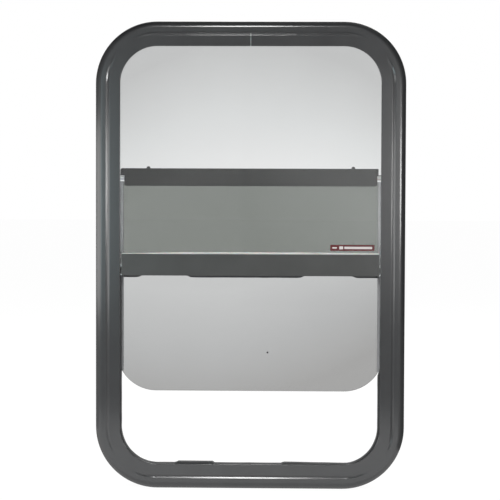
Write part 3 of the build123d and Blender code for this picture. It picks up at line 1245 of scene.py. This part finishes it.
@dataclass(frozen=True)
class FixedLight:
    """The upper pane with its rubber channel, the pale wedge along its foot, and a plain sticker."""

    radius: float = 56.0
    wedge_step: float = 6.0
    wedge_wave: float = 0.25
    wedge_wave_mm: float = 45.0
    wedge_row: float = 3.1
    # The wedge sinks towards its left end: where that starts and ends across, and how far
    wedge_dip: Triple = (-70.0, -150.0, 1.5)
    # The radii of the wedge's rim: outside, along the slot for the glass, and inside
    rim_rounds: Triple = (1.1, 0.5, 0.9)
    slot_half: float = 2.1
    slot_base: float = 1.5
    sticker_place: Pair = (132.0, 11.2)
    sticker_size: Pair = (57.0, 7.6)
    # Each stripe: its place from the sticker's middle, its length and its height
    stripes: tuple[Triple, ...] = ((-23.0, 6.0, 1.8), (-14.5, 5.0, 3.8), (7.5, 36.0, 3.0))
    film: float = 0.14
    film_gap: float = 0.02
    film_round: float = 0.8

    def build(self) -> None:
        """Make the pane and what is on it."""
        GlassSheet("fixed_pane", self.radius, rounded_top=True).build("upper_pane", FIXED_GLASS, Body.FRAME)
        dress("glazing_gasket", RUBBER)
        low, high = node_box("rail_gasket")
        wedge = Shape().stretch(low.x, high.x, self.wedge_step, self.wedge_section)
        add_piece("glazing_wedge", wedge, PALE_VINYL, Body.FRAME, ["rail_gasket"])
        self.add_sticker()

    def wedge_section(self, x: float) -> list[Corner]:
        """Return the glazing wedge's section, with a rim a little uneven as pressed in by hand.

        Args:
            x: place across.

        Returns:
            Its corners in depth and height.
        """
        low, high = node_box("rail_gasket")
        start, end, dip = self.wedge_dip
        rim = high.z - self.wedge_wave * (1 + waver(x, self.wedge_wave_mm, self.wedge_row))
        rim -= dip * clamp((x - start) / (end - start))
        slot, half = low.z + self.slot_base, self.slot_half
        outside, beside_glass, inside = self.rim_rounds
        return [
            Corner(low.y, low.z),
            Corner(low.y, rim, outside),
            Corner(-half, rim, beside_glass),
            Corner(-half, slot),
            Corner(half, slot),
            Corner(half, rim, beside_glass),
            Corner(high.y, rim, inside),
            Corner(high.y, low.z),
        ]

    def add_sticker(self) -> None:
        """Make a plain maroon sticker with three pale stripes on the outside of the pane."""
        face = node_box("fixed_pane")[0].y
        x, z = self.sticker_place
        base, marks = Shape(), Shape()
        self.add_film(base, Vector((x, face, z)), self.sticker_size)
        for offset, length, height in self.stripes:
            self.add_film(marks, Vector((x + offset, face - self.film, z)), (length, height))
        add_piece("pane_sticker", base, MAROON_FILM, Body.FRAME)
        add_piece("sticker_stripes", marks, WHITE_FILM, Body.FRAME)

    def add_film(self, shape: Shape, middle: Vector, size: Pair) -> None:
        """Lay one rounded patch of film on a face.

        Args:
            shape: shape that takes the patch.
            middle: middle of the patch, on the face that it sticks to.
            size: length and height.
        """
        a, b = size[0] / 2, size[1] / 2
        patch = round_off([Corner(x, z, self.film_round) for x, z in ((-a, -b), (a, -b), (a, b), (-a, b))])
        lifts = (self.film_gap, self.film)
        shape.skin([[middle + Vector((p.x, -lift, p.y)) for p in patch] for lift in lifts])


@dataclass(frozen=True)
class MeetingRail:
    """The rail at the foot of the fixed pane, with a hand-laid brush strip on its back."""

    backing: float = 1.0
    pile_height: float = 3.0
    strip_step: float = 4.0
    # Stretches where the strip sits high behind the rail; elsewhere it hangs below the rail's foot
    high_stretches: tuple[Pair, ...] = ((-143.0, -80.0), (68.0, 135.0))
    hang: float = -0.9
    tuck: float = 1.7
    blend_mm: float = 9.0
    stray: float = 0.25
    stray_mm: float = 14.0
    stray_row: float = 0.7
    fibre_pitch: float = 0.55
    fibre_rows: int = 4
    fibre_radius: float = 0.16
    fibre_sides: int = 3
    # Rings of a fibre: shares of its length and of its radius
    fibre_rings: tuple[Pair, ...] = ((0.0, 1.0), (0.6, 1.0), (1.0, 1 / 3))
    root_share: float = 0.8
    end_margin: float = 0.5
    # How fibres differ: sideways, in length, and in how far they sag
    splay: float = 0.35
    most_splay: float = 0.5
    shortfall: float = 0.4
    sag: Pair = (-0.5, 0.35)
    seed: int = 11

    def offset(self, x: float) -> float:
        """Return how far the strip strays up or down.

        Args:
            x: place across.

        Returns:
            Its rise there.
        """
        high = max(within(x, start, stop, self.blend_mm) for start, stop in self.high_stretches)
        stray = self.stray * waver(x, self.stray_mm, self.stray_row)
        return self.hang + (self.tuck - self.hang) * high + stray

    def build(self) -> None:
        """Dress the rail and make the brush strip."""
        dress("meeting_rail", COPED_COAT)
        low, high = node_box("pile_strip")
        shape = Shape().stretch(low.x, high.x, self.strip_step, self.backing_section)
        self.add_fibres(shape)
        add_piece("brush_strip", shape, PILE, Body.FRAME, ["pile_strip"])

    def backing_section(self, x: float) -> list[Corner]:
        """Return the section of the woven backing that sticks to the rail.

        Args:
            x: place across.

        Returns:
            Its corners in depth and height.
        """
        low, high = node_box("pile_strip")
        front, back = low.y, low.y + self.backing
        foot, head = low.z + self.offset(x), high.z + self.offset(x)
        return [Corner(front, foot), Corner(back, foot), Corner(back, head), Corner(front, head)]

    def add_fibres(self, shape: Shape) -> None:
        """Plant the fibres, splayed a little and sagging towards their tips.

        Args:
            shape: shape that takes them.
        """
        low, high = node_box("pile_strip")
        draw = random.Random(self.seed)
        root, middle = low.y + self.root_share * self.backing, (low.z + high.z) / 2
        for column in range(int((high.x - low.x - 2 * self.end_margin) / self.fibre_pitch)):
            for row in range(self.fibre_rows):
                x = low.x + self.end_margin + (column + draw.random()) * self.fibre_pitch
                level = (row + draw.random()) / self.fibre_rows - 0.5
                base = Vector((x, root, middle + self.offset(x) + self.pile_height * level))
                splay = max(-self.most_splay, min(self.most_splay, draw.gauss(0, self.splay)))
                reach = high.y - root - abs(draw.gauss(0, self.shortfall))
                self.add_fibre(shape, base, Vector((splay, reach, draw.gauss(*self.sag))))

    def add_fibre(self, shape: Shape, base: Vector, tip: Vector) -> None:
        """Make one fibre.

        Args:
            shape: shape that takes it.
            base: where it is planted.
            tip: where it ends, from there.
        """
        rings = []
        for share, thick in self.fibre_rings:
            spine = base + Vector((tip.x * share, tip.y * share, tip.z * share * share))
            radius = thick * self.fibre_radius
            turns = angles(self.fibre_sides)
            rings.append([spine + Vector((radius * math.cos(a), 0.0, radius * math.sin(a))) for a in turns])
        shape.skin(rings)


@dataclass(frozen=True)
class LowerSeal:
    """The rubber round the open half of the frame, pressed in unevenly, and the strip on the sill."""

    edge: EdgePath
    root: float = 21.9
    heel: float = 29.3
    neck: Pair = (4.4, 6.6)
    lip: float = 1.4
    lip_stay: float = 0.3
    nose_round: float = 0.9
    brow_round: float = 0.6
    lip_round: float = 0.4
    # How far the nose stands past the frame's lip on each side: below the sash, and beside it
    proud_left: Pair = (0.95, 0.7)
    proud_right: Pair = (2.1, -0.5)
    proud_foot: float = 0.1
    sash_corner: float = -151.0
    sash_blend: float = 8.0
    # Stretches of the foot where the rubber has crept up, and how far at either end
    bulges: tuple[tuple[float, float, float, float], ...] = (
        (-95.0, -47.0, 1.9, 1.8),
        (43.0, 129.0, 1.6, 0.4),
    )
    bulge_edge: float = 2.5
    # The foot is where inward is up by at least this much
    foot_upness: float = 0.95
    wave: float = 0.18
    wave_mm: float = 16.0
    wave_row: float = 5.3

    def proud(self, place: Station) -> float:
        """Return how far the nose stands past the lip.

        Args:
            place: place on the flange's edge.

        Returns:
            The distance there.
        """
        x, z = place.point
        below, beside = self.proud_left if place.inward.x > 0 else self.proud_right
        side = below + (beside - below) * clamp((z - self.sash_corner) / self.sash_blend + 0.5)
        level = side * place.inward.x**2 + self.proud_foot * max(0.0, place.inward.y) ** 2
        if place.inward.y > self.foot_upness:
            for start, stop, first, last in self.bulges:
                height = first + (last - first) * (x - start) / (stop - start)
                level += height * within(x, start, stop, self.bulge_edge)
        return level + self.wave * waver(place.run, self.wave_mm, self.wave_row)

    def section(self, place: Station) -> list[Vector]:
        """Return the seal's outline.

        Args:
            place: place on the flange's edge.

        Returns:
            Its points in u and y.
        """
        low, high = node_box("wiper_seal")
        nose = LIP_TIP + self.proud(place)
        lip_root = max(nose - 2 * self.lip, self.heel + self.lip_stay)
        return round_off([
            Corner(self.root, low.y),
            Corner(nose, low.y, self.nose_round),
            Corner(nose, high.y - self.lip, self.brow_round),
            Corner(nose - self.lip, high.y, self.lip_round),
            Corner(lip_root, high.y, self.lip_round),
            Corner(self.heel, self.neck[1]),
            Corner(self.heel, self.neck[0]),
            Corner(self.root, self.neck[0]),
        ])

    def build(self) -> None:
        """Make the seal, and dress the sill strip and the run channels."""
        start = self.edge.right_side_run(node_box("wiper_seal")[1].z)
        places = self.edge.stations(start, self.edge.length() - start, straight_mm=2.5, bend_mm=4.0)
        shape = Shape().skin([place.ring(self.section(place)) for place in places])
        add_piece("lower_seal", shape, RUBBER, Body.FRAME, ["wiper_seal"])
        dress("sill_strip", RUBBER)
        for hand in Hand:
            dress(hand.own("run_channel"), FLOCK)


@dataclass(frozen=True)
class SlidingSash:
    """The lower pane with its top rail, edge strips and end shoes, and a speck of dirt on the glass."""

    radius: float = 52.0
    # End shoes: a cap on the rail's end, a slot that light comes through, and a foot behind the frame's lip
    cap_end: Mapping[Hand, float] = field(default_factory=lambda: {Hand.LEFT: 169.2, Hand.RIGHT: 165.8})
    foot: float = 172.4
    arm: float = 1.0
    head_play: float = 0.6
    # The cap's radius as a share of its length, and the radii of the foot's heel, head and slot
    cap_round: float = 0.55
    foot_rounds: Triple = (0.6, 3.0, 0.4)
    plug_gap: float = 1.75
    bore: float = 2.65
    bore_steps: int = 32
    speck_place: Pair = (22.7, -126.4)
    speck_radius: float = 1.2
    speck_rise: float = 0.5
    speck_gap: float = 0.02
    speck_steps: int = 16
    # How ragged the speck is, and the pattern that makes it so
    speck_ragged: float = 0.3
    speck_lobes: float = 3.0
    speck_row: float = 2.0
    # Rings of the speck: shares of its radius and of its rise
    speck_rings: tuple[Pair, ...] = ((1.0, 0.0), (0.8, 0.55), (0.35, 1.0))

    def build(self) -> None:
        """Make the pane, the shoes and the speck, and dress what slides with them."""
        GlassSheet("sash_pane", self.radius, rounded_top=False).build("lower_pane", SASH_GLASS, Body.SASH)
        # The sash rail's darker coat is painted shade
        dress("sash_rail", SHADED_RAIL_COAT)
        # The left strip takes the painted-shade copy of the grey nylon, the right strip the painted-light
        # copy
        strips = {Hand.LEFT: SHADED_GREY_NYLON, Hand.RIGHT: LIT_GREY_NYLON}
        for hand, finish in strips.items():
            dress(hand.own("edge_strip"), finish)
            self.add_shoe(hand)
        self.add_speck()

    def add_shoe(self, hand: Hand) -> None:
        """Make an end shoe: a slotted head whose foot runs in the liner, and a bored plug in the rail.

        Args:
            hand: side of the window.
        """
        low, high = node_box(hand.own("end_shoe"))
        side = -1 if hand is Hand.LEFT else 1
        head = self.shoe_head(hand)
        shape = Shape().skin([[Vector((side * p.x, y, p.y)) for p in head] for y in (low.y, high.y)])
        bolt_low, bolt_high = node_box(hand.own("catch_bolt"))
        axis = (bolt_low + bolt_high) / 2
        # The rail's wall leaves the plug less room in front, behind and above
        less_low, less_high = Vector((0.0, self.plug_gap, 0.0)), Vector((0.0, self.plug_gap, self.plug_gap))
        walls = self.plug_walls(low + less_low - axis, high - less_high - axis)
        bores = [Vector((math.cos(a), math.sin(a))) * self.bore for a in angles(self.bore_steps)]
        inner, outer = min(abs(low.x), abs(high.x)), node_box("sash_rail")[1].x
        tube = ((inner, bores), (inner, walls), (outer, walls), (outer, bores), (inner, bores))
        rings = [[Vector((side * x, axis.y + p.x, axis.z + p.y)) for p in ring] for x, ring in tube]
        shape.skin(rings, capped=False)
        name, node = hand.own("guide_shoe"), hand.own("end_shoe")
        add_piece(name, shape, BLACK_NYLON, Body.SASH, [node])

    def shoe_head(self, hand: Hand) -> list[Vector]:
        """Return the outline of a shoe's head as if it were on the right.

        Args:
            hand: side of the window.

        Returns:
            Its points across and in height.
        """
        low, high = node_box(hand.own("end_shoe"))
        rail_end, tip = node_box("sash_rail")[1].x, max(abs(low.x), abs(high.x))
        floor = node_box(hand.own("catch_bolt"))[1].z + self.head_play
        cap, slot = self.cap_end[hand], floor + self.arm
        heel_round, head_round, slot_round = self.foot_rounds
        return round_off([
            Corner(rail_end, floor),
            Corner(tip, floor, heel_round),
            Corner(tip, high.z, head_round),
            Corner(self.foot, high.z, slot_round),
            Corner(self.foot, slot),
            Corner(cap, slot),
            Corner(cap, high.z, self.cap_round * (cap - rail_end)),
            Corner(rail_end, high.z),
        ])

    def plug_walls(self, low: Vector, high: Vector) -> list[Vector]:
        """Return the outline of a plug, with a point for each point of its bore.

        Args:
            low: lowest corner of the plug, from the bore's axis.
            high: highest corner, from there.

        Returns:
            Its points in depth and height, from the axis.
        """
        walls = []
        for angle in angles(self.bore_steps):
            way = Vector((math.cos(angle), math.sin(angle)))
            ends = ((high if way.x > 0 else low).y, (high if way.y > 0 else low).z)
            walls.append(way * min(end / part for end, part in zip(ends, way) if abs(part) > TINY))
        return walls

    def add_speck(self) -> None:
        """Make the small dried splash on the inside of the pane, clear of the brush."""
        face = node_box("sash_pane")[1].y + self.speck_gap
        x, z = self.speck_place
        rings = []
        for share, lift in self.speck_rings:
            ring = []
            for angle in angles(self.speck_steps):
                ragged = noise.noise(Vector((self.speck_lobes * math.cos(angle), self.speck_row, angle)))
                reach = self.speck_radius * share * (1 + self.speck_ragged * ragged)
                lateral = Vector((reach * math.cos(angle), 0.0, reach * math.sin(angle)))
                ring.append(Vector((x, face + self.speck_rise * lift, z)) + lateral)
            rings.append(ring)
        add_piece("glass_speck", Shape().skin(rings), RUBBER, Body.SASH)


@dataclass(frozen=True)
class SpringCatches:
    """The two friction catches: white bolts, and black finger tabs with ribs for the fingertip."""

    tab_thickness: float = 5.0
    tab_bevel: float = 0.8
    # How far below the top of the node the taper ends and starts, and half the width of the tip
    tab_drop: float = 0.9
    tab_shoulder: float = 8.6
    tab_tip: float = 1.9
    foot_round: float = 3.2
    shoulder_round: float = 4.0
    tip_round: float = 1.7
    stem_radius: float = 1.5
    # How deep stems and ribs are let into the tab
    let_in: float = 0.1
    rib_count: int = 5
    rib_drop: float = 1.0
    rib_pitch: float = 2.2
    rib_length: float = 4.4
    rib_half: float = 0.5
    rib_proud: float = 0.55
    rib_steps: int = 5
    # Rings at a rib's end: how far from the end, and their share of its height
    rib_ends: tuple[Pair, ...] = ((0.0, 0.3), (0.5, 0.85), (1.0, 1.0))

    def build(self) -> None:
        """Dress the bolts and make the finger tabs with their ribs."""
        bodies = {Hand.LEFT: Body.LEFT_CATCH, Hand.RIGHT: Body.RIGHT_CATCH}
        for hand, body in bodies.items():
            dress(hand.own("catch_bolt"), WHITE_NYLON)
            self.add_tab(hand, body)
            low, high = node_box(hand.own("catch_tab"))
            middle = (low + high) / 2
            shape = Shape()
            for k in range(self.rib_count):
                z = middle.z - self.rib_drop + (k - (self.rib_count - 1) / 2) * self.rib_pitch
                self.add_rib(shape, Vector((middle.x, high.y, z)))
            add_piece(hand.own("tab_ribs"), shape, BLACK_NYLON, body)

    def add_tab(self, hand: Hand, body: Body) -> None:
        """Make a finger tab that tapers to a narrow top, and the stem that joins it to its bolt.

        Args:
            hand: side of the window.
            body: body that carries it.
        """
        low, high = node_box(hand.own("catch_tab"))
        bolt_low, bolt_high = node_box(hand.own("catch_bolt"))
        middle, half, shoulder = (low.x + high.x) / 2, (high.x - low.x) / 2, high.z - self.tab_shoulder
        face = high.y - self.tab_thickness
        rings = []
        for y, inset in ((face, 0.0), (high.y - self.tab_bevel, 0.0), (high.y, self.tab_bevel)):
            side, tip = half - inset, self.tab_tip - inset
            foot, top = low.z + inset, high.z - self.tab_drop - inset
            outline = round_off([
                Corner(-side, foot, self.foot_round),
                Corner(side, foot, self.foot_round),
                Corner(side, shoulder, self.shoulder_round),
                Corner(tip, top, self.tip_round),
                Corner(-tip, top, self.tip_round),
                Corner(-side, shoulder, self.shoulder_round),
            ])
            rings.append([Vector((middle + p.x, y, p.y)) for p in outline])
        shape = Shape().skin(rings)
        stem = Matrix.Translation((middle, low.y, (bolt_low.z + bolt_high.z) / 2)) @ INTO_ROOM
        shape.turn([(self.stem_radius, 0.0), (self.stem_radius, face + self.let_in - low.y)], stem)
        name, node = hand.own("finger_tab"), hand.own("catch_tab")
        add_piece(name, shape, BLACK_NYLON, body, [node])

    def add_rib(self, shape: Shape, place: Vector) -> None:
        """Lay one half-round rib across a tab, with tapered ends.

        Args:
            shape: shape that takes it.
            place: middle of the rib, on the tab's face.
        """
        half, wide = self.rib_length / 2, self.rib_half
        left = [(from_end - half, share) for from_end, share in self.rib_ends]
        right = [(-x, share) for x, share in reversed(left)]
        rings = []
        for x, share in left + right:
            ring = [Vector((x, -self.let_in, -wide)), Vector((x, -self.let_in, wide))]
            for k in range(self.rib_steps):
                angle = math.pi * (k + 0.5) / self.rib_steps
                ring.append(Vector((x, self.rib_proud * share * math.sin(angle), wide * math.cos(angle))))
            rings.append([place + point for point in ring])
        shape.skin(rings)


def blank_material(name: str) -> bpy.types.Material:
    """Return a new material that has no shader yet.

    Args:
        name: name of the material.

    Returns:
        The material, with its output node alone.
    """
    made = bpy.data.materials.new(name)
    made.use_nodes = True
    made.node_tree.nodes.remove(made.node_tree.nodes["Principled BSDF"])
    return made


def add_sheet(name: str, corners: Sequence[Vector], material: bpy.types.Material) -> bpy.types.Object:
    """Add one flat sheet of the stage.

    Args:
        name: name of the sheet.
        corners: its four corners in metres.
        material: its surface.

    Returns:
        The new object.
    """
    mesh = bpy.data.meshes.new(name)
    mesh.from_pydata(corners, [], [(0, 1, 2, 3)])
    mesh.materials.append(material)
    sheet = add_object(name, mesh)
    return sheet


@dataclass(frozen=True)
class Lamp:
    """A soft box: where it hangs, where it points, its size in metres and its power."""

    name: str
    place: Triple
    target: Triple
    size: Pair
    watts: float

    def hang(self) -> None:
        """Add the lamp to the scene, out of the camera's sight."""
        data = bpy.data.lights.new(self.name, "AREA")
        data.shape = "RECTANGLE"
        data.size, data.size_y = self.size
        data.energy = self.watts
        lamp = add_object(self.name, data)
        lamp.location = self.place
        lamp.rotation_euler = (Vector(self.target) - lamp.location).to_track_quat("-Z", "Y").to_euler()
        hide_from(lamp, "camera", "transmission")


@dataclass(frozen=True)
class Card:
    """A sheet that only reflections see: its middle, its size in metres (nought across it) and its light."""

    name: str
    middle: Triple
    size: Triple
    light: float
    hue: str = "#ffffff"
    # How far the light reaches from the middle along each axis before it has faded out
    fade: Triple | None = None

    def hang(self) -> None:
        """Add the card to the stage."""
        first, second = (row / 2 for row in Matrix.Diagonal(self.size) if row.length > 0)
        ways = (-first - second, first - second, first + second, second - first)
        card = add_sheet(self.name, [Vector(self.middle) + way for way in ways], self.material())
        hide_from(card, "camera", "diffuse", "transmission", "shadow")

    def material(self) -> bpy.types.Material:
        """Make the card's light.

        Returns:
            A material that glows, and fades away from the middle where the card does.
        """
        made = blank_material(self.name)
        tree = made.node_tree
        light = add_node(tree, "ShaderNodeEmission", {"Color": linear(self.hue), "Strength": self.light})
        tree.links.new(light.outputs[0], tree.nodes["Material Output"].inputs["Surface"])
        if self.fade:
            coords = add_node(tree, "ShaderNodeTexCoord").outputs["Object"]
            placed = {"vector_type": "TEXTURE", "Location": self.middle, "Scale": self.fade}
            about = add_node(tree, "ShaderNodeMapping", placed, {"Vector": coords})
            sphere = {"gradient_type": "SPHERICAL"}
            falloff = add_node(tree, "ShaderNodeTexGradient", sphere, {0: about.outputs[0]})
            dimmed = {"operation": "MULTIPLY", 1: self.light}
            level = add_node(tree, "ShaderNodeMath", dimmed, {0: falloff.outputs[1]})
            tree.links.new(level.outputs[0], light.inputs["Strength"])
        return made


@dataclass(frozen=True)
class Studio:
    """White sweep, soft boxes, drapes and cards that only reflections see, and the photograph's camera."""

    # Places and lengths of the stage are metres
    camera_place: Triple = (0.0356, -1.8, 0.0675)
    yaw_deg: float = -1.142
    pitch_deg: float = -1.896
    roll_deg: float = 0.200
    focal_pixels: float = 1391.6
    sensor_mm: float = 36.0
    ambient: float = 0.2
    floor_half: float = 30.0
    floor_glow: float = 0.97
    floor_shade: float = 0.08
    floor_bounce: float = 0.5
    lamps: tuple[Lamp, ...] = (
        Lamp("key soft box", (-0.06, -1.6, 1.117), (0.0, 0.0, 0.3), (0.24, 0.4), 11.0),
        Lamp("left soft box", (-1.55, -0.9, 0.035), (0.0, 0.0, 0.035), (2.2, 0.47), 13.5),
        Lamp("right soft box", (1.07, -1.8, 0.13), (0.2, 0.0, 0.12), (0.62, 0.26), 10.6),
        Lamp("rear soft box", (0.5, 1.4, 2.1), (0.0, 0.2, -0.2), (1.6, 1.2), 32.0),
    )
    cards: tuple[Card, ...] = (
        Card("drape_front", (0.0, -3.2, 1.05), (4.8, 0.0, 2.7), 0.12),
        Card("drape_left", (-2.4, -0.2, 1.05), (0.0, 6.0, 2.7), 0.1),
        Card("drape_right", (2.4, -0.2, 1.05), (0.0, 6.0, 2.7), 0.1),
        Card("drape_above", (0.0, -0.2, 2.4), (4.8, 6.0, 0.0), 0.02),
        Card("drape_floor_front", (0.0, -1.9, -0.298), (4.8, 2.6, 0.0), 0.12),
        Card("drape_floor_left", (-1.5, 0.2, -0.298), (1.8, 1.6, 0.0), 0.4),
        Card("drape_floor_right", (1.34, 0.2, -0.298), (2.12, 1.6, 0.0), 0.2),
        Card("card_left", (-1.02, -3.0, 0.07), (0.9, 0.0, 1.3), 4.9, "#e4fbff", (9.0, 9.0, 0.65)),
        Card("card_right", (0.82, -3.0, 0.14), (0.74, 0.0, 1.3), 4.2, fade=(9.0, 9.0, 0.58)),
        Card("card_wide", (0.86, -3.1, 0.14), (1.9, 0.0, 1.2), 2.2, fade=(0.95, 9.0, 0.55)),
        Card("card_far_right", (2.38, -3.0, 0.04), (0.0, 0.36, 1.1), 5.6, fade=(9.0, 9.0, 0.5)),
        Card("card_on_floor", (-0.16, -0.28, -0.299), (0.88, 0.5, 0.0), 1.3),
    )

    def build(self) -> None:
        """Set up the camera, world, floor, drapes and lamps."""
        self.add_camera()
        self.set_world()
        self.add_floor()
        for fitting in (*self.lamps, *self.cards):
            fitting.hang()
        bpy.context.scene.view_settings.view_transform = "Standard"

    def add_camera(self) -> None:
        """Stand the camera where the photograph was taken."""
        data = bpy.data.cameras.new("photograph")
        data.sensor_width = self.sensor_mm
        data.lens = self.focal_pixels / IMAGE_PIXELS * self.sensor_mm
        camera = add_object("photograph", data)
        yaw, pitch, roll = (math.radians(a) for a in (self.yaw_deg, self.pitch_deg, self.roll_deg))
        aim = Matrix.Rotation(-yaw, 4, "Z") @ Matrix.Rotation(math.pi / 2 + pitch, 4, "X")
        camera.matrix_world = Matrix.Translation(self.camera_place) @ aim @ Matrix.Rotation(roll, 4, "Z")
        bpy.context.scene.camera = camera

    def seen_share(self, tree: Tree) -> Socket:
        """Tell the rays by which the background is seen, also in metal and through glass, from others.

        Args:
            tree: node tree that asks.

        Returns:
            1 for such rays and 0 for others.
        """
        path = add_node(tree, "ShaderNodeLightPath")
        seen, *others = (path.outputs[f"Is {kind} Ray"] for kind in ("Camera", "Glossy", "Transmission"))
        for other in others:
            seen = add_node(tree, "ShaderNodeMath", {"operation": "MAXIMUM"}, {0: seen, 1: other}).outputs[0]
        return seen

    def set_world(self) -> None:
        """Set a white background with a lower level of light on the object."""
        world = bpy.data.worlds.new("white sweep")
        world.use_nodes = True
        tree = world.node_tree
        ends = {"To Min": self.ambient, "To Max": 1.0}
        level = add_node(tree, "ShaderNodeMapRange", ends, {"Value": self.seen_share(tree)})
        backdrop = tree.nodes["Background"]
        backdrop.inputs["Color"].default_value = linear("#ffffff")
        tree.links.new(level.outputs[0], backdrop.inputs["Strength"])
        bpy.context.scene.world = world

    def add_floor(self) -> None:
        """Lay a white floor that keeps a soft shadow."""
        material = blank_material("white floor")
        tree = material.node_tree
        seen = self.seen_share(tree)
        glow = add_node(tree, "ShaderNodeMath", {"operation": "MULTIPLY", 1: self.floor_glow}, {0: seen})
        light = add_node(tree, "ShaderNodeEmission", links={"Strength": glow.outputs[0]})
        ends = {"To Min": self.floor_bounce, "To Max": self.floor_shade}
        shade = add_node(tree, "ShaderNodeMapRange", ends, {"Value": seen})
        matt = add_node(tree, "ShaderNodeBsdfDiffuse", links={"Color": shade.outputs[0]})
        both = add_node(tree, "ShaderNodeAddShader", links={0: light.outputs[0], 1: matt.outputs[0]})
        tree.links.new(both.outputs[0], tree.nodes["Material Output"].inputs["Surface"])
        reach, level = self.floor_half, CAD_BOX[0].z
        ways = ((-reach, -reach), (reach, -reach), (reach, reach), (-reach, reach))
        add_sheet("floor", [Vector((*way, level)) for way in ways], material)


def main() -> None:
    """Build and dress the sub-assemblies in order, then the studio."""
    logging.basicConfig(level=logging.INFO, format="%(name)s: %(message)s")
    edge = EdgePath(half_width=CAD_BOX[1].x / MM, half_height=CAD_BOX[1].z / MM, radius=80.0)
    assemblies = (
        FrameExtrusion(edge),
        ClampRing(edge),
        FixedLight(),
        MeetingRail(),
        LowerSeal(edge),
        SlidingSash(),
        SpringCatches(),
        Studio(),
    )
    for assembly in assemblies:
        LOG.info("building %s", type(assembly).__name__)
        assembly.build()


if __name__ == "__main__":
    main()
